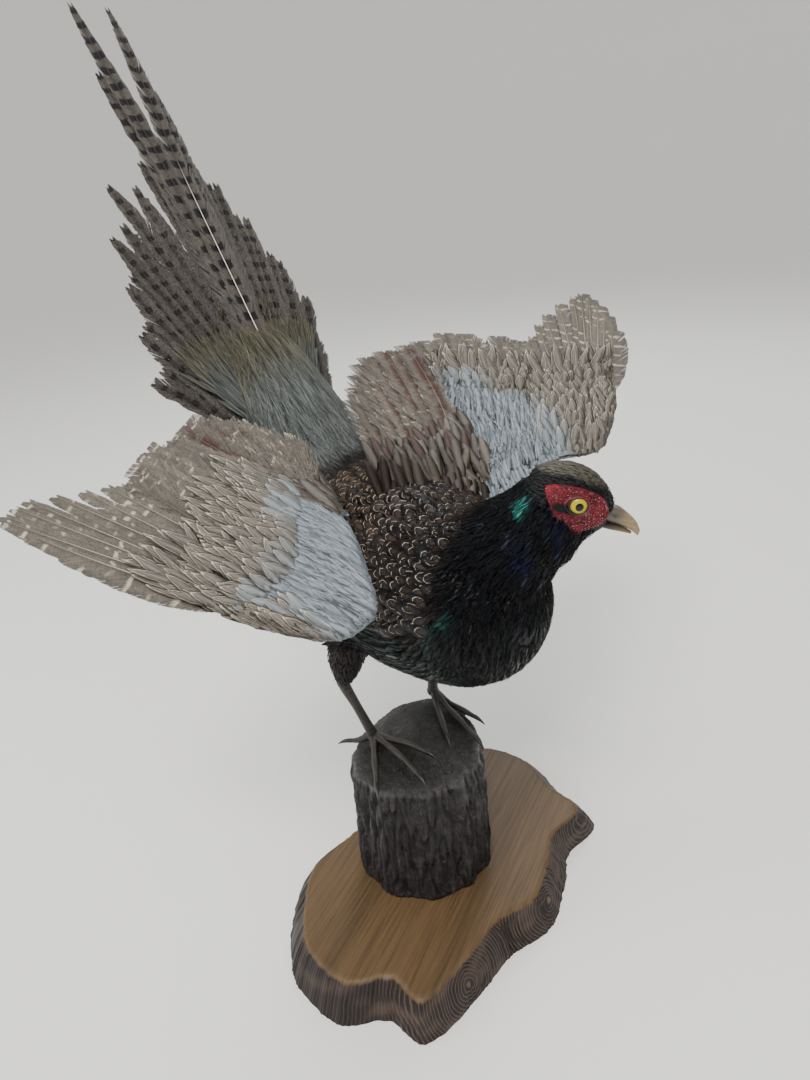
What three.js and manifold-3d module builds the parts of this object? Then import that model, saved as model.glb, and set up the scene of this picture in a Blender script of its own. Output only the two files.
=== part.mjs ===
// Mounted green pheasant: a cock bird with half-open wings and a raised, fanned tail,
// standing on a stump that is fixed to a live-edge board.
// Millimetres. +X is the way the body faces, +Y its left side, +Z up.
// The origin is on the underside of the board, below the middle of the stump.
import * as THREE from 'three';
import { mergeVertices } from 'three/addons/utils/BufferGeometryUtils.js';
import Module from 'manifold-3d';

const wasm = await Module();
wasm.setup();

// ---- Driving dimensions -------------------------------------------------------------

const GAP = 0.3;                 // air left between two pieces that touch
const BODY_Y = 17;               // the bird's middle plane stands this far left of the stump's axis

const BOARD_THICKNESS = 26;
const BOARD_FLARE = 14;          // how far the bark edge leans out towards the underside
const STUMP_RADIUS = 53;
const STUMP_RIM_RADIUS = 50;
const STUMP_RIM_HEIGHT = 120;    // height of the stump's rim at its lowest side
const STUMP_RIM_RISE = 15;       // how much the rim climbs towards the bird's left foot
const STUMP_DOME = 7;            // swell of the top above its rim
const BARK_RIDGES = 11;
const BARK_DEPTH = 1.3;
const BOARD_CORNERS = 44;

const EYE_DIAMETER = 10;
const HEAD_YAW = 50;             // degrees the head is turned to the bird's left
const HEAD_DIP = 22.5;           // degrees the bill points down
const HEAD_CENTRE = [115.7, 54.8, 348];
const EYE_SPREAD = 13.2;           // each eye's centre from the head's middle plane
const WATTLE_THICKNESS = 0.9;

const TAIL_RISE = 51.2;          // degrees the tail stands above the horizontal
const TAIL_ROOT = [-112, BODY_Y, 322];
const FEATHER_SHEET = 1.1;       // thickness of a sheet of flight feathers

const SHANK_RADIUS = 3.6;
const TOE_RADIUS = 2.9;
const CLAW_RADIUS = 1.7;

const COLOURS = {
  blackGreen: 0x10181a, mantle: 0x2a211c, slate: 0x75828a, crown: 0x4a4c3e, horn: 0x8f7a55,
  wattle: 0xa23a3c, iris: 0xd8c81e, covert: 0x93a0aa, flight: 0x857b6e, tertial: 0x7d746c,
  rump: 0x6c7a76, tail: 0x7a766e, thigh: 0x1f1a18, scale: 0x4c4338, claw: 0x2b2622,
  board: 0x7d5730, bark: 0x2c2529,
};

// ---- Small helpers ------------------------------------------------------------------

const V = (x, y, z) => new THREE.Vector3(x, y, z);
const radians = THREE.MathUtils.degToRad;
const lerp = THREE.MathUtils.lerp;

// A smooth curve through stations; each station is a plain list of numbers of one length.
function smoothStations(stations, count) {
  const width = stations[0].length;
  const curves = [];
  for (let k = 0; k < width; k += 3) {
    const points = stations.map((row) => V(row[k], row[k + 1] ?? 0, row[k + 2] ?? 0));
    curves.push(new THREE.CatmullRomCurve3(points, false, 'catmullrom', 0.5));
  }
  const rows = [];
  for (let i = 0; i < count; i += 1) {
    const t = i / (count - 1);
    rows.push(curves.flatMap((curve) => curve.getPoint(t).toArray()).slice(0, width));
  }
  return rows;
}

// A closed surface over rings of points. An end cap is a fan about its ring's centre.
function loft(rings) {
  const n = rings[0].length;
  const positions = [];
  const faces = [];
  rings.forEach((ring) => ring.forEach((p) => positions.push(p.x, p.y, p.z)));
  for (let r = 0; r + 1 < rings.length; r += 1) {
    for (let i = 0; i < n; i += 1) {
      const j = (i + 1) % n;
      const a = r * n + i;
      const b = r * n + j;
      faces.push([a, b, b + n], [a, b + n, a + n]);
    }
  }
  const addCap = (ring, offset, flip) => {
    const centre = ring.reduce((sum, p) => sum.add(p), V(0, 0, 0)).divideScalar(n);
    const hub = positions.length / 3;
    positions.push(centre.x, centre.y, centre.z);
    for (let i = 0; i < n; i += 1) {
      const j = (i + 1) % n;
      faces.push(flip ? [hub, offset + j, offset + i] : [hub, offset + i, offset + j]);
    }
  };
  addCap(rings[0], 0, true);
  addCap(rings[rings.length - 1], (rings.length - 1) * n, false);
  return meshGeometry(positions, faces);
}

function meshGeometry(positions, faces) {
  const geometry = new THREE.BufferGeometry();
  geometry.setAttribute('position', new THREE.Float32BufferAttribute(positions, 3));
  geometry.setIndex(faces.flat());
  return geometry;
}

// A closed three.js geometry as a manifold solid, with its faces pointing out.
function solid(geometry) {
  const bare = geometry.clone();
  bare.deleteAttribute('normal');
  bare.deleteAttribute('uv');
  const merged = mergeVertices(bare, 1e-4);
  const positions = merged.attributes.position.array;
  const index = Array.from(merged.index.array);
  if (signedVolume(positions, index) < 0) {
    for (let i = 0; i < index.length; i += 3) {
      [index[i + 1], index[i + 2]] = [index[i + 2], index[i + 1]];
    }
  }
  const mesh = new wasm.Mesh({
    numProp: 3,
    vertProperties: Float32Array.from(positions),
    triVerts: Uint32Array.from(index),
  });
  return new wasm.Manifold(mesh);
}

function signedVolume(positions, index) {
  let sum = 0;
  const corner = (i) => V(positions[3 * i], positions[3 * i + 1], positions[3 * i + 2]);
  for (let i = 0; i < index.length; i += 3) {
    const a = corner(index[i]);
    sum += a.dot(corner(index[i + 1]).cross(corner(index[i + 2])));
  }
  return sum / 6;
}

// The largest connected body of a solid, so that a cut leaves no crumbs.
function largest(body) {
  const parts = body.decompose();
  return parts.reduce((best, part) => (part.volume() > best.volume() ? part : best));
}

function geometryOf(body) {
  const mesh = body.getMesh();
  const geometry = new THREE.BufferGeometry();
  const positions = [];
  for (let i = 0; i < mesh.vertProperties.length; i += mesh.numProp) {
    positions.push(...mesh.vertProperties.slice(i, i + 3));
  }
  geometry.setAttribute('position', new THREE.Float32BufferAttribute(positions, 3));
  geometry.setIndex(Array.from(mesh.triVerts));
  geometry.computeVertexNormals();
  return geometry;
}

// A big slab on one side of a plane, for parting a body with a thin cut.
function halfSpace(point, normal) {
  const size = 900;
  const box = new THREE.BoxGeometry(size, size, size);
  box.translate(0, 0, size / 2);
  const turn = new THREE.Quaternion().setFromUnitVectors(V(0, 0, 1), normal.clone().normalize());
  box.applyQuaternion(turn);
  box.translate(point.x, point.y, point.z);
  return solid(box);
}

// The two sides of a cut through a point, with the usual gap between them.
function part(body, point, normal) {
  const n = normal.clone().normalize();
  const ahead = halfSpace(point.clone().addScaledVector(n, GAP / 2), n);
  const behind = halfSpace(point.clone().addScaledVector(n, -GAP / 2), n.clone().negate());
  return [largest(body.intersect(behind)), largest(body.intersect(ahead))];
}

const model = new THREE.Group();

function add(name, body, colour, roughness) {
  const material = new THREE.MeshStandardMaterial({ color: colour, roughness, metalness: 0 });
  const mesh = new THREE.Mesh(geometryOf(body), material);
  mesh.name = name;
  model.add(mesh);
}

// ---- Round bodies along a spine -------------------------------------------------------

// Stations: x, y, z of the centre, then half width, half height and a belly share that
// moves the widest level down. `side` gives the width's direction, `grow` swells the whole.
function spineRings(stations, { around, along, side, grow = 0 }) {
  const rows = smoothStations(stations, along);
  return rows.map((row, i) => {
    const before = V(...rows[Math.max(i - 1, 0)]);
    const after = V(...rows[Math.min(i + 1, rows.length - 1)]);
    const tangent = after.sub(before).normalize();
    const wide = side.clone().addScaledVector(tangent, -side.dot(tangent)).normalize();
    const up = V(0, 0, 0).crossVectors(tangent, wide);
    const centre = V(row[0], row[1], row[2]);
    const end = i === 0 ? -1 : Number(i === rows.length - 1);
    centre.addScaledVector(tangent, end * grow);
    const ring = [];
    for (let k = 0; k < around; k += 1) {
      const angle = (2 * Math.PI * k) / around;
      const belly = 1 + row[5] * -Math.sin(angle);
      const across = Math.cos(angle) * (row[3] * belly + grow);
      const upward = Math.sin(angle) * (row[4] + grow);
      ring.push(centre.clone().addScaledVector(wide, across).addScaledVector(up, -upward));
    }
    return ring;
  });
}

// ---- Board and stump ------------------------------------------------------------------

// Lobes of the live edge: bearing in degrees about the stump's axis, distance to the edge.
const BOARD_LOBES = [
  [-180, 62], [-145, 64], [-120, 90], [-100, 106], [-82, 125], [-63, 133], [-50, 121], [-40, 137],
  [-22, 108], [-5, 92], [15, 99], [37, 98], [54, 103], [66, 132], [81, 124], [98, 132],
  [118, 128], [140, 86], [160, 67],
];

function boardOutline(spread, z) {
  const points = BOARD_LOBES.map(([bearing, reach]) => {
    const angle = radians(bearing);
    return V((reach + spread) * Math.cos(angle), (reach + spread) * Math.sin(angle), z);
  });
  const curve = new THREE.CatmullRomCurve3(points, true, 'centripetal');
  return curve.getPoints(BOARD_CORNERS).slice(0, BOARD_CORNERS);
}

function board() {
  const edge = 1.5;
  const rings = [
    boardOutline(BOARD_FLARE, 0),
    boardOutline(BOARD_FLARE * 0.5, BOARD_THICKNESS * 0.55),
    boardOutline(0.4, BOARD_THICKNESS - edge),
    boardOutline(-edge, BOARD_THICKNESS),
  ];
  return solid(loft(rings));
}

// Height of the stump's rim at a bearing: highest behind the bird's left foot.
function rimHeight(angle) {
  const toLeftFoot = Math.max(0, Math.cos(angle - radians(112)));
  const toFront = Math.max(0, Math.cos(angle + radians(35)));
  return STUMP_RIM_HEIGHT + STUMP_RIM_RISE * toLeftFoot ** 1.5 + 5 * toFront;
}

// Height of the stump's top at a point, as a dome over the tilted rim.
function stumpTop(x, y) {
  const angle = Math.atan2(y, x);
  const share = Math.min(1, Math.hypot(x, y) / STUMP_RIM_RADIUS);
  const rim = lerp(STUMP_RIM_HEIGHT + 6, rimHeight(angle), share ** 1.3);
  return rim + STUMP_DOME * (1 - share ** 2);
}

function stumpRing(radius, height, bark, around) {
  const ring = [];
  for (let k = 0; k < around; k += 1) {
    const angle = (2 * Math.PI * k) / around;
    const ridge = Math.cos(BARK_RIDGES * angle + 0.8 * Math.sin(3 * angle));
    const r = radius + bark * ridge + 1.2 * Math.cos(2 * angle + 1);
    const x = r * Math.cos(angle);
    const y = r * Math.sin(angle);
    ring.push(V(x, y, typeof height === 'number' ? height : height(x, y, angle)));
  }
  return ring;
}

function stump(grow = 0) {
  const around = 30;
  const base = BOARD_THICKNESS + GAP - grow;
  const side = (share) => (x, y, angle) => lerp(base, rimHeight(angle), share) + grow;
  const top = (x, y) => stumpTop(x, y) + grow;
  const rings = [
    stumpRing(STUMP_RADIUS + 1.5 + grow, base, BARK_DEPTH, around),
    stumpRing(STUMP_RADIUS + grow, side(0.45), BARK_DEPTH, around),
    stumpRing(STUMP_RADIUS - 0.5 + grow, side(0.86), BARK_DEPTH, around),
    stumpRing(STUMP_RIM_RADIUS + grow, side(1), BARK_DEPTH / 2, around),
    stumpRing(STUMP_RIM_RADIUS * 0.84, top, 0, around),
    stumpRing(STUMP_RIM_RADIUS * 0.42, top, 0, around),
  ];
  return solid(loft(rings));
}

// ---- Trunk, rump, neck ----------------------------------------------------------------

// From the breast to the tail coverts: centre, half width, half height, belly share.
const TRUNK_STATIONS = [
  [113, 18, 268, 5, 6, 0],
  [105, 18, 268, 30, 32, 0],
  [86, 18, 269, 49, 51, 0],
  [50, 17, 270, 63, 64, 0],
  [8, 17, 274, 70, 72, 0],
  [-36, 17, 280, 68, 70, 0],
  [-76, 17, 293, 61, 59, 0],
  [-108, 17, 316, 53, 46, 0],
  [-134, 17, 348, 46, 33, 0],
  [-162, 17, 383, 39, 21, 0],
  [-190, 17, 415, 31, 10, 0],
  [-203, 17, 430, 20, 4, 0],
];
const RUMP_CUT = V(-84, BODY_Y, 300);
const RUMP_CUT_DIRECTION = V(-0.8, 0, 0.6);

function bodyAndRump(grow = 0) {
  const rings = spineRings(TRUNK_STATIONS, { around: 18, along: 16, side: V(0, 1, 0), grow });
  return solid(loft(rings));
}

const NECK_STATIONS = [
  [52, 20, 288, 48, 50, 0],
  [70, 23, 300, 43, 45, 0],
  [85, 31, 314, 32, 36, 0],
  [97, 39, 328, 26, 30, 0],
  [105, 46, 340, 22, 26, 0],
  [110, 50, 349, 16, 18, 0],
];

function neck(grow = 0) {
  const side = V(-0.45, 0.89, 0);
  return solid(loft(spineRings(NECK_STATIONS, { around: 12, along: 6, side, grow })));
}

// ---- Head -----------------------------------------------------------------------------

const yaw = radians(HEAD_YAW);
const dip = radians(HEAD_DIP);
const HEAD_FORWARD = V(Math.cos(yaw) * Math.cos(dip), Math.sin(yaw) * Math.cos(dip), -Math.sin(dip));
const HEAD_LEFT = V(-Math.sin(yaw), Math.cos(yaw), 0);
const HEAD_UP = V(0, 0, 0).crossVectors(HEAD_FORWARD, HEAD_LEFT);

// A place in the head: along the bill, to the bird's left, and up from the eyes' middle.
function inHead(along, left, up) {
  return V(...HEAD_CENTRE)
    .addScaledVector(HEAD_FORWARD, along)
    .addScaledVector(HEAD_LEFT, left)
    .addScaledVector(HEAD_UP, up);
}

// Head profile: along, top, bottom, half width.
const HEAD_STATIONS = [
  [-30, 5, -12, 4],
  [-26, 11, -20, 11],
  [-17, 17, -27, 15.5],
  [-6, 19, -27, 17],
  [4, 18, -27, 16.5],
  [13, 14, -24, 13.5],
  [20, 8, -18, 9.5],
  [25, 2.5, -12.5, 5],
];

function headRings(stations, around, along, grow) {
  return smoothStations(stations, along).map((row, i, rows) => {
    const end = i === 0 ? -1 : Number(i === rows.length - 1);
    const ring = [];
    for (let k = 0; k < around; k += 1) {
      const angle = (2 * Math.PI * k) / around;
      const middle = (row[1] + row[2]) / 2;
      const tall = (row[1] - row[2]) / 2 + grow;
      const wide = (row[3] + grow) * Math.sign(Math.cos(angle)) * Math.abs(Math.cos(angle)) ** 0.9;
      ring.push(inHead(row[0] + end * grow, wide, middle + tall * Math.sin(angle)));
    }
    return ring;
  });
}

function headWhole(grow = 0) {
  return solid(loft(headRings(HEAD_STATIONS, 14, 9, grow)));
}

// Upper and lower halves of the bill, which meet along the gape.
const BILL_UPPER = [
  [18, -1, -8.6, 6.5],
  [26, 1.5, -8.8, 6],
  [33, -0.5, -9.2, 4.6],
  [40, -4, -10.6, 3],
  [44.5, -8.5, -12.4, 1.3],
];
const BILL_LOWER = [
  [18, -9, -13.5, 6],
  [26, -9.2, -13.4, 5],
  [34, -9.8, -12.8, 3.4],
  [40, -11.1, -12.6, 1.6],
];

function bill(stations, grow = 0) {
  return solid(loft(headRings(stations, 8, 5, grow)));
}

function ball(centre, radius, segments) {
  const sphere = new THREE.SphereGeometry(radius, segments, segments / 2);
  sphere.translate(centre.x, centre.y, centre.z);
  return solid(sphere);
}

const EYE_CENTRES = { left: inHead(0, EYE_SPREAD, 0), right: inHead(0, -EYE_SPREAD, 0) };

// The bare red face: a low pad that follows the cheek, from behind the eye to the gape.
const WATTLE_OUTLINE = [
  [-21, 4], [-9, 9], [6, 9], [15, 5.5], [20, -1], [19, -8.5], [12, -11], [6, -17], [0, -22],
  [-6, -16], [-14, -5],
];

// A block through one side of the head with the red face's outline.
function wattleBlock(side) {
  const outline = new THREE.CatmullRomCurve3(
    WATTLE_OUTLINE.map(([along, up]) => V(along, up, 0)), true, 'centripetal');
  const corners = 10;
  const rim = outline.getPoints(corners).slice(0, corners);
  const inner = rim.map((p) => inHead(p.x, side * 4, p.y));
  const outer = rim.map((p) => inHead(p.x, side * 26, p.y));
  return solid(loft([inner, outer]));
}

function head() {
  const pieces = {};
  const overWattle = headWhole(WATTLE_THICKNESS + GAP);
  const layer = overWattle.subtract(headWhole(GAP));
  let flesh = headWhole();
  const rooms = [];
  for (const [name, sign] of [['left', 1], ['right', -1]]) {
    const socket = ball(EYE_CENTRES[name], EYE_DIAMETER / 2 + GAP, 10);
    const block = wattleBlock(sign);
    pieces[`eye_${name}`] = ball(EYE_CENTRES[name], EYE_DIAMETER / 2, 10);
    pieces[`wattle_${name}`] = largest(layer.intersect(block).subtract(socket));
    rooms.push(headWhole(WATTLE_THICKNESS + 2 * GAP).intersect(block));
    flesh = flesh.subtract(socket);
  }
  pieces.wattleRoom = rooms[0].add(rooms[1]);
  pieces.flesh = largest(flesh.subtract(bill(BILL_UPPER, GAP)).subtract(bill(BILL_LOWER, GAP)));
  return pieces;
}

// ---- Wings ----------------------------------------------------------------------------

// A wing lies about a plane through its wrist. Places in it are given as
// reach (from the wrist towards the longest tip), aft (towards the trailing edge) and lift.
const WINGS = {
  right: {
    sign: -1,
    wrist: [101, -88, 312],
    tip: [-84, -216, 365.5],
    roll: 30,
    arm: [
      [40, -15, 0, 88, -14, 0, 2.5],
      [13, -13, 0, 104, -10, 0, 10],
      [0, 0, 0, 106, 6, 0, 14],
      [-3, 15, 0, 98, 24, 0, 16],
      [15, 40, -1, 96, 50, 0, 18],
      [31, 63, -14, 100, 74, -3, 22],
      [45, 84, -34, 106, 95, -14, 24],
      [52, 98, -56, 110, 112, -34, 24],
    ],
    wristCut: 12,
    primaryRoots: [[72, -6, -1], [8, 4, -1]],
    primaryTips: [
      [208, -3], [222, 0], [231, 2], [229, 10], [223, 19], [203, 29], [186, 40], [176, 45],
    ],
    secondaryRoots: [[14, 12, -1], [46, 70, -6]],
    secondaryTips: [[174, 49], [176, 57], [173, 74], [170, 92]],
    tertialRoots: [[54, 74, -7], [70, 96, -20]],
    tertialTips: [[168, 96, 0], [148, 102, 0], [122, 105, -2], [104, 104, -8]],
  },
  left: {
    sign: 1,
    wrist: [76.5, 110, 347.5],
    tip: [-73.5, 280, 408.5],
    roll: 7,
    arm: [
      [60, -17, 0, 112, -14, 0, 2.5],
      [14, -13, 0, 110, -8, 0, 10],
      [-2, 0, 0, 104, 8, 0, 14],
      [-9, 20, 0, 95, 28, 0, 16],
      [-22, 42, -7, 90, 54, 0, 18],
      [-34, 60, -22, 92, 82, -3, 22],
      [-24, 78, -36, 98, 110, -14, 24],
      [-8, 92, -58, 98, 132, -34, 24],
    ],
    wristCut: 14,
    primaryRoots: [[74, -8, -1], [8, 5, -1]],
    primaryTips: [
      [179, -18], [211, -11], [228, -3], [243, 6], [236, 15], [212, 31], [186, 40], [160, 45],
    ],
    secondaryRoots: [[12, 14, -1], [20, 84, -6]],
    secondaryTips: [[152, 48], [157, 62], [156, 88], [160, 110], [146, 138]],
    tertialRoots: [[8, 86, -6], [-16, 130, -8]],
    tertialTips: [[140, 146, 0], [124, 167, 0], [106, 178, -2], [68, 172, -8]],
  },
};

function wingFrame(wing) {
  const wrist = V(...wing.wrist);
  const reach = V(...wing.tip).sub(wrist).normalize();
  const level = V(0, 0, 0).crossVectors(reach, V(0, 0, 1)).normalize();
  const upright = V(0, 0, 0).crossVectors(level, reach).normalize();
  const roll = radians(wing.roll);
  const towards = level.clone().multiplyScalar(level.x > 0 ? 1 : -1);
  const lift = upright.multiplyScalar(Math.cos(roll)).addScaledVector(towards, Math.sin(roll));
  const aft = V(0, 0, 0).crossVectors(lift, reach).multiplyScalar(wing.sign);
  return { wrist, reach, aft, lift };
}

function inWing(frame, [reach, aft, lift]) {
  return frame.wrist.clone()
    .addScaledVector(frame.reach, reach)
    .addScaledVector(frame.aft, aft)
    .addScaledVector(frame.lift, lift);
}

// One closed aerofoil from a front point to a rear point: round in front, thin behind.
function aerofoil(front, rear, thick, lift, around, grow) {
  const edge = 0.7;
  const chord = rear.clone().sub(front);
  const direction = chord.clone().normalize();
  const ring = [];
  for (let k = 0; k < around; k += 1) {
    const angle = (2 * Math.PI * k) / around;
    const along = (1 - Math.cos(angle)) / 2;
    const fullness = 1.9 * along ** 0.5 * (1 - along) ** 0.95;
    const half = Math.max(edge, (thick / 2) * fullness) + grow;
    const above = Math.sin(angle) >= 0 ? 1.15 : -0.85;
    const flat = Math.abs(Math.sin(angle)) < 1e-6 ? 0 : above * half;
    const p = front.clone().addScaledVector(chord, along).addScaledVector(lift, flat);
    p.addScaledVector(direction, grow * (2 * along - 1));
    ring.push(p);
  }
  return ring;
}

function wingArm(wing, grow = 0) {
  const frame = wingFrame(wing);
  const rows = smoothStations(wing.arm, 12);
  const rings = rows.map((row, i) => {
    const end = i === 0 ? -1 : Number(i === rows.length - 1);
    const shift = frame.aft.clone().multiplyScalar(end * grow);
    const front = inWing(frame, row.slice(0, 3)).add(shift);
    const rear = inWing(frame, row.slice(3, 6)).add(shift);
    return aerofoil(front, rear, row[6], frame.lift, 12, grow);
  });
  return solid(loft(rings));
}

// ---- Sheets of flight feathers ----------------------------------------------------------

// Evenly spread places along a line or curve of named places.
function spreadAlong(places, count) {
  const points = places.map(([a, b, c = 0]) => V(a, b, c));
  const curve = new THREE.CatmullRomCurve3(points, false, 'centripetal');
  return Array.from({ length: count }, (_, i) => curve.getPoint(i / (count - 1)).toArray());
}

// A closed sheet of overlapping feathers. Each has a root, a tip and the sheet's up direction;
// neighbours share their edges up to the notch, and beyond it each tapers to its own tip.
// `stacked` is +1 where each feather lies on the next one, -1 where it lies under it.
function featherSheet(feathers, { notch, stacked, halfWidth, arch, taper, thick }) {
  const step = 0.9;
  const shares = taper.length > 1 ? [0, notch, lerp(notch, 1, 0.55), 1] : [0, notch, 1];
  const tapers = [1, 1, ...taper];
  const notchRow = 1;
  const axisAt = (f, v) => f.root.clone().lerp(f.tip, v).addScaledVector(f.up, arch * 4 * v * (1 - v));
  const sideOf = (f) => V(0, 0, 0).crossVectors(f.tip.clone().sub(f.root), f.up).normalize();
  const last = feathers.length - 1;
  const towards = feathers[1].tip.clone().add(feathers[1].root)
    .sub(feathers[0].tip).sub(feathers[0].root).dot(sideOf(feathers[0])) >= 0 ? 1 : -1;
  const sharedEdge = (i, v) => axisAt(feathers[i], v).lerp(axisAt(feathers[i + 1], v), 0.5);
  const halfAt = (i, v, which) => {
    const ownShare = (which < 0 && i === 0) || (which > 0 && i === last);
    if (ownShare) return halfWidth;
    const edge = sharedEdge(which < 0 ? i - 1 : i, v);
    return edge.distanceTo(axisAt(feathers[i], v));
  };
  const tops = [];
  const bottoms = [];
  feathers.forEach((f, i) => {
    const side = sideOf(f).multiplyScalar(towards);
    shares.forEach((v, r) => {
      const axis = axisAt(f, v);
      [-1, 0, 1].forEach((which) => {
        const free = (which < 0 && i === 0) || (which > 0 && i === last) || r > notchRow;
        let p = axis.clone();
        if (which !== 0 && free) {
          const base = halfAt(i, Math.min(v, notch), which);
          p.addScaledVector(side, which * (base * tapers[r] - 0.25));
        } else if (which !== 0) {
          p = sharedEdge(which < 0 ? i - 1 : i, v).addScaledVector(side, -0.25 * which);
        }
        const tilt = (which * stacked * -step) / 2;
        p.addScaledVector(f.up, -tilt - (which === 0 ? 0 : 0.4));
        tops.push(p.clone().addScaledVector(f.up, thick / 2));
        bottoms.push(p.clone().addScaledVector(f.up, -thick / 2));
      });
    });
  });
  return sheetGeometry(tops, bottoms, feathers.length, shares.length, notchRow);
}

// Joins the tops and bottoms of a feather sheet into one closed surface.
function sheetGeometry(tops, bottoms, count, rows, notchRow) {
  const positions = [...tops, ...bottoms].flatMap((p) => p.toArray());
  const under = tops.length;
  const at = (i, r, c) => (i * rows + r) * 3 + c;
  const faces = [];
  const quad = (a, b, c, d) => faces.push([a, b, c], [a, c, d]);
  const plate = (a, b, c, d) => {
    quad(a, b, c, d);
    quad(under + d, under + c, under + b, under + a);
  };
  const wall = (a, b) => quad(b, a, under + a, under + b);
  for (let i = 0; i < count; i += 1) {
    for (let r = 0; r + 1 < rows; r += 1) {
      plate(at(i, r, 0), at(i, r, 1), at(i, r + 1, 1), at(i, r + 1, 0));
      plate(at(i, r, 1), at(i, r, 2), at(i, r + 1, 2), at(i, r + 1, 1));
      if (i === 0 || r >= notchRow) wall(at(i, r + 1, 0), at(i, r, 0));
      if (i === count - 1 || r >= notchRow) wall(at(i, r, 2), at(i, r + 1, 2));
      if (i + 1 < count && r < notchRow) {
        plate(at(i, r, 2), at(i + 1, r, 0), at(i + 1, r + 1, 0), at(i, r + 1, 2));
      }
    }
    wall(at(i, 0, 0), at(i, 0, 1));
    wall(at(i, 0, 1), at(i, 0, 2));
    wall(at(i, rows - 1, 1), at(i, rows - 1, 0));
    wall(at(i, rows - 1, 2), at(i, rows - 1, 1));
    if (i + 1 < count) {
      wall(at(i, 0, 2), at(i + 1, 0, 0));
      wall(at(i + 1, notchRow, 0), at(i, notchRow, 2));
    }
  }
  return meshGeometry(positions, faces);
}

// How each kind of wing feather is made: how many, how far its neighbours hold together,
// the free half width at the fan's ends, its arch, and its height over the primaries.
const WING_FANS = {
  primary: { count: 10, notch: 0.82, halfWidth: 4, arch: 3, over: 0, taper: [0.25] },
  secondary: { count: 8, notch: 0.88, halfWidth: 5, arch: 3, over: 1.9, taper: [0.42] },
  tertial: { count: 5, notch: 0.86, halfWidth: 9, arch: 3, over: 3.8, taper: [0.42] },
};

function wingFan(spec, kind, thick) {
  const frame = wingFrame(spec);
  const fan = WING_FANS[kind];
  const roots = spreadAlong(spec[`${kind}Roots`], fan.count);
  const tips = spreadAlong(spec[`${kind}Tips`], fan.count);
  const place = ([reach, aft, lift]) => inWing(frame, [reach, aft, lift + fan.over]);
  const feathers = roots.map((root, i) => ({
    root: place(root), tip: place(tips[i]), up: frame.lift,
  }));
  return solid(featherSheet(feathers, { ...fan, stacked: -1, thick }));
}

function wing(name, trunkGrown) {
  const spec = WINGS[name];
  const frame = wingFrame(spec);
  const whole = wingArm(spec).subtract(trunkGrown);
  const grown = wingArm(spec, GAP);
  const cutAt = inWing(frame, [0, spec.wristCut, 0]);
  const [hand, arm] = part(largest(whole), cutAt, frame.aft);
  const clear = FEATHER_SHEET + 2 * GAP;
  const primaries = wingFan(spec, 'primary', FEATHER_SHEET);
  const secondaries = wingFan(spec, 'secondary', FEATHER_SHEET);
  const tertials = wingFan(spec, 'tertial', FEATHER_SHEET);
  return {
    hand,
    arm,
    primaries: primaries.subtract(wingFan(spec, 'secondary', clear)),
    secondaries: secondaries.subtract(wingFan(spec, 'tertial', clear)),
    tertials,
    grown,
  };
}

// ---- Tail -------------------------------------------------------------------------------

const tailRise = radians(TAIL_RISE);
const TAIL_AXIS = V(-Math.cos(tailRise), 0, Math.sin(tailRise));
const TAIL_UP = V(Math.sin(tailRise), 0, Math.cos(tailRise));

// Length and spread in degrees (to the bird's left) of each tail feather, middle pair first.
const TAIL_LEFT = [
  [454, 1.7], [384, 2.6], [338, 3], [303, 4], [273, 6.4], [238, 10.4], [195, 15], [160, 19.5], [118, 22],
];
const TAIL_RIGHT = [
  [460, -1.8], [388, -2.6], [300, -3.5], [284, -10.2], [242, -15.1], [200, -19.7], [162, -26], [129, -34],
];

function tailFeather([length, spread], depth) {
  const angle = radians(spread);
  const across = V(0, 1, 0);
  const out = TAIL_AXIS.clone().multiplyScalar(Math.cos(angle)).addScaledVector(across, Math.sin(angle));
  const root = V(...TAIL_ROOT).addScaledVector(across, spread * 0.5).addScaledVector(TAIL_UP, -depth);
  return { root, tip: root.clone().addScaledVector(out, length), up: TAIL_UP };
}

// The middle pairs lie over the two side fans, whose feathers lie under each other outwards.
function tail() {
  const side = { notch: 0.8, halfWidth: 7, arch: 4, taper: [0.55, 0.1], thick: FEATHER_SHEET };
  const middle = { ...side, notch: 0.76, stacked: 0, halfWidth: 10, taper: [0.34, 0.1] };
  const under = 4.2;
  const centre = [TAIL_RIGHT[1], TAIL_RIGHT[0], TAIL_LEFT[0], TAIL_LEFT[1]];
  const fan = (rows, depth, options) => {
    const feathers = rows.map((row) => tailFeather(row, depth));
    return solid(featherSheet(feathers, options));
  };
  return {
    centre: fan(centre, 0, middle),
    left: fan(TAIL_LEFT.slice(2), under, { ...side, stacked: 1 }),
    right: fan(TAIL_RIGHT.slice(2), under, { ...side, stacked: 1 }),
  };
}

// ---- Legs -------------------------------------------------------------------------------

const LEGS = {
  right: {
    knee: [-16, -32, 238],
    ankle: [-44, -30, 181],
    foot: [-29, -18, 131],
    toes: [[14, -46], [30, -21], [18, -4], [-44, -30]],
  },
  left: {
    knee: [-16, 62, 238],
    ankle: [-44, 58, 190],
    foot: [-25, 40, 147],
    toes: [[12, 22], [26, 38], [10, 50], [-38, 48]],
  },
};

function roundLimb(points, radii, around, along, grow = 0) {
  const stations = points.map((p, i) => [...p, radii[i], radii[i], 0]);
  return solid(loft(spineRings(stations, { around, along, side: V(0.3, 0.95, 0.1), grow })));
}

function thigh(leg, grow = 0) {
  const [kx, ky, kz] = leg.knee;
  const [ax, ay, az] = leg.ankle;
  const middle = [(kx + ax) / 2, (ky + ay) / 2, (kz + az) / 2];
  const points = [[kx + 6, ky, kz + 14], leg.knee, middle, [ax + 5, ay, az + 6], [ax, ay, az + 1]];
  return roundLimb(points, [16, 18, 16, 10, 6.5], 10, 7, grow);
}

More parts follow.
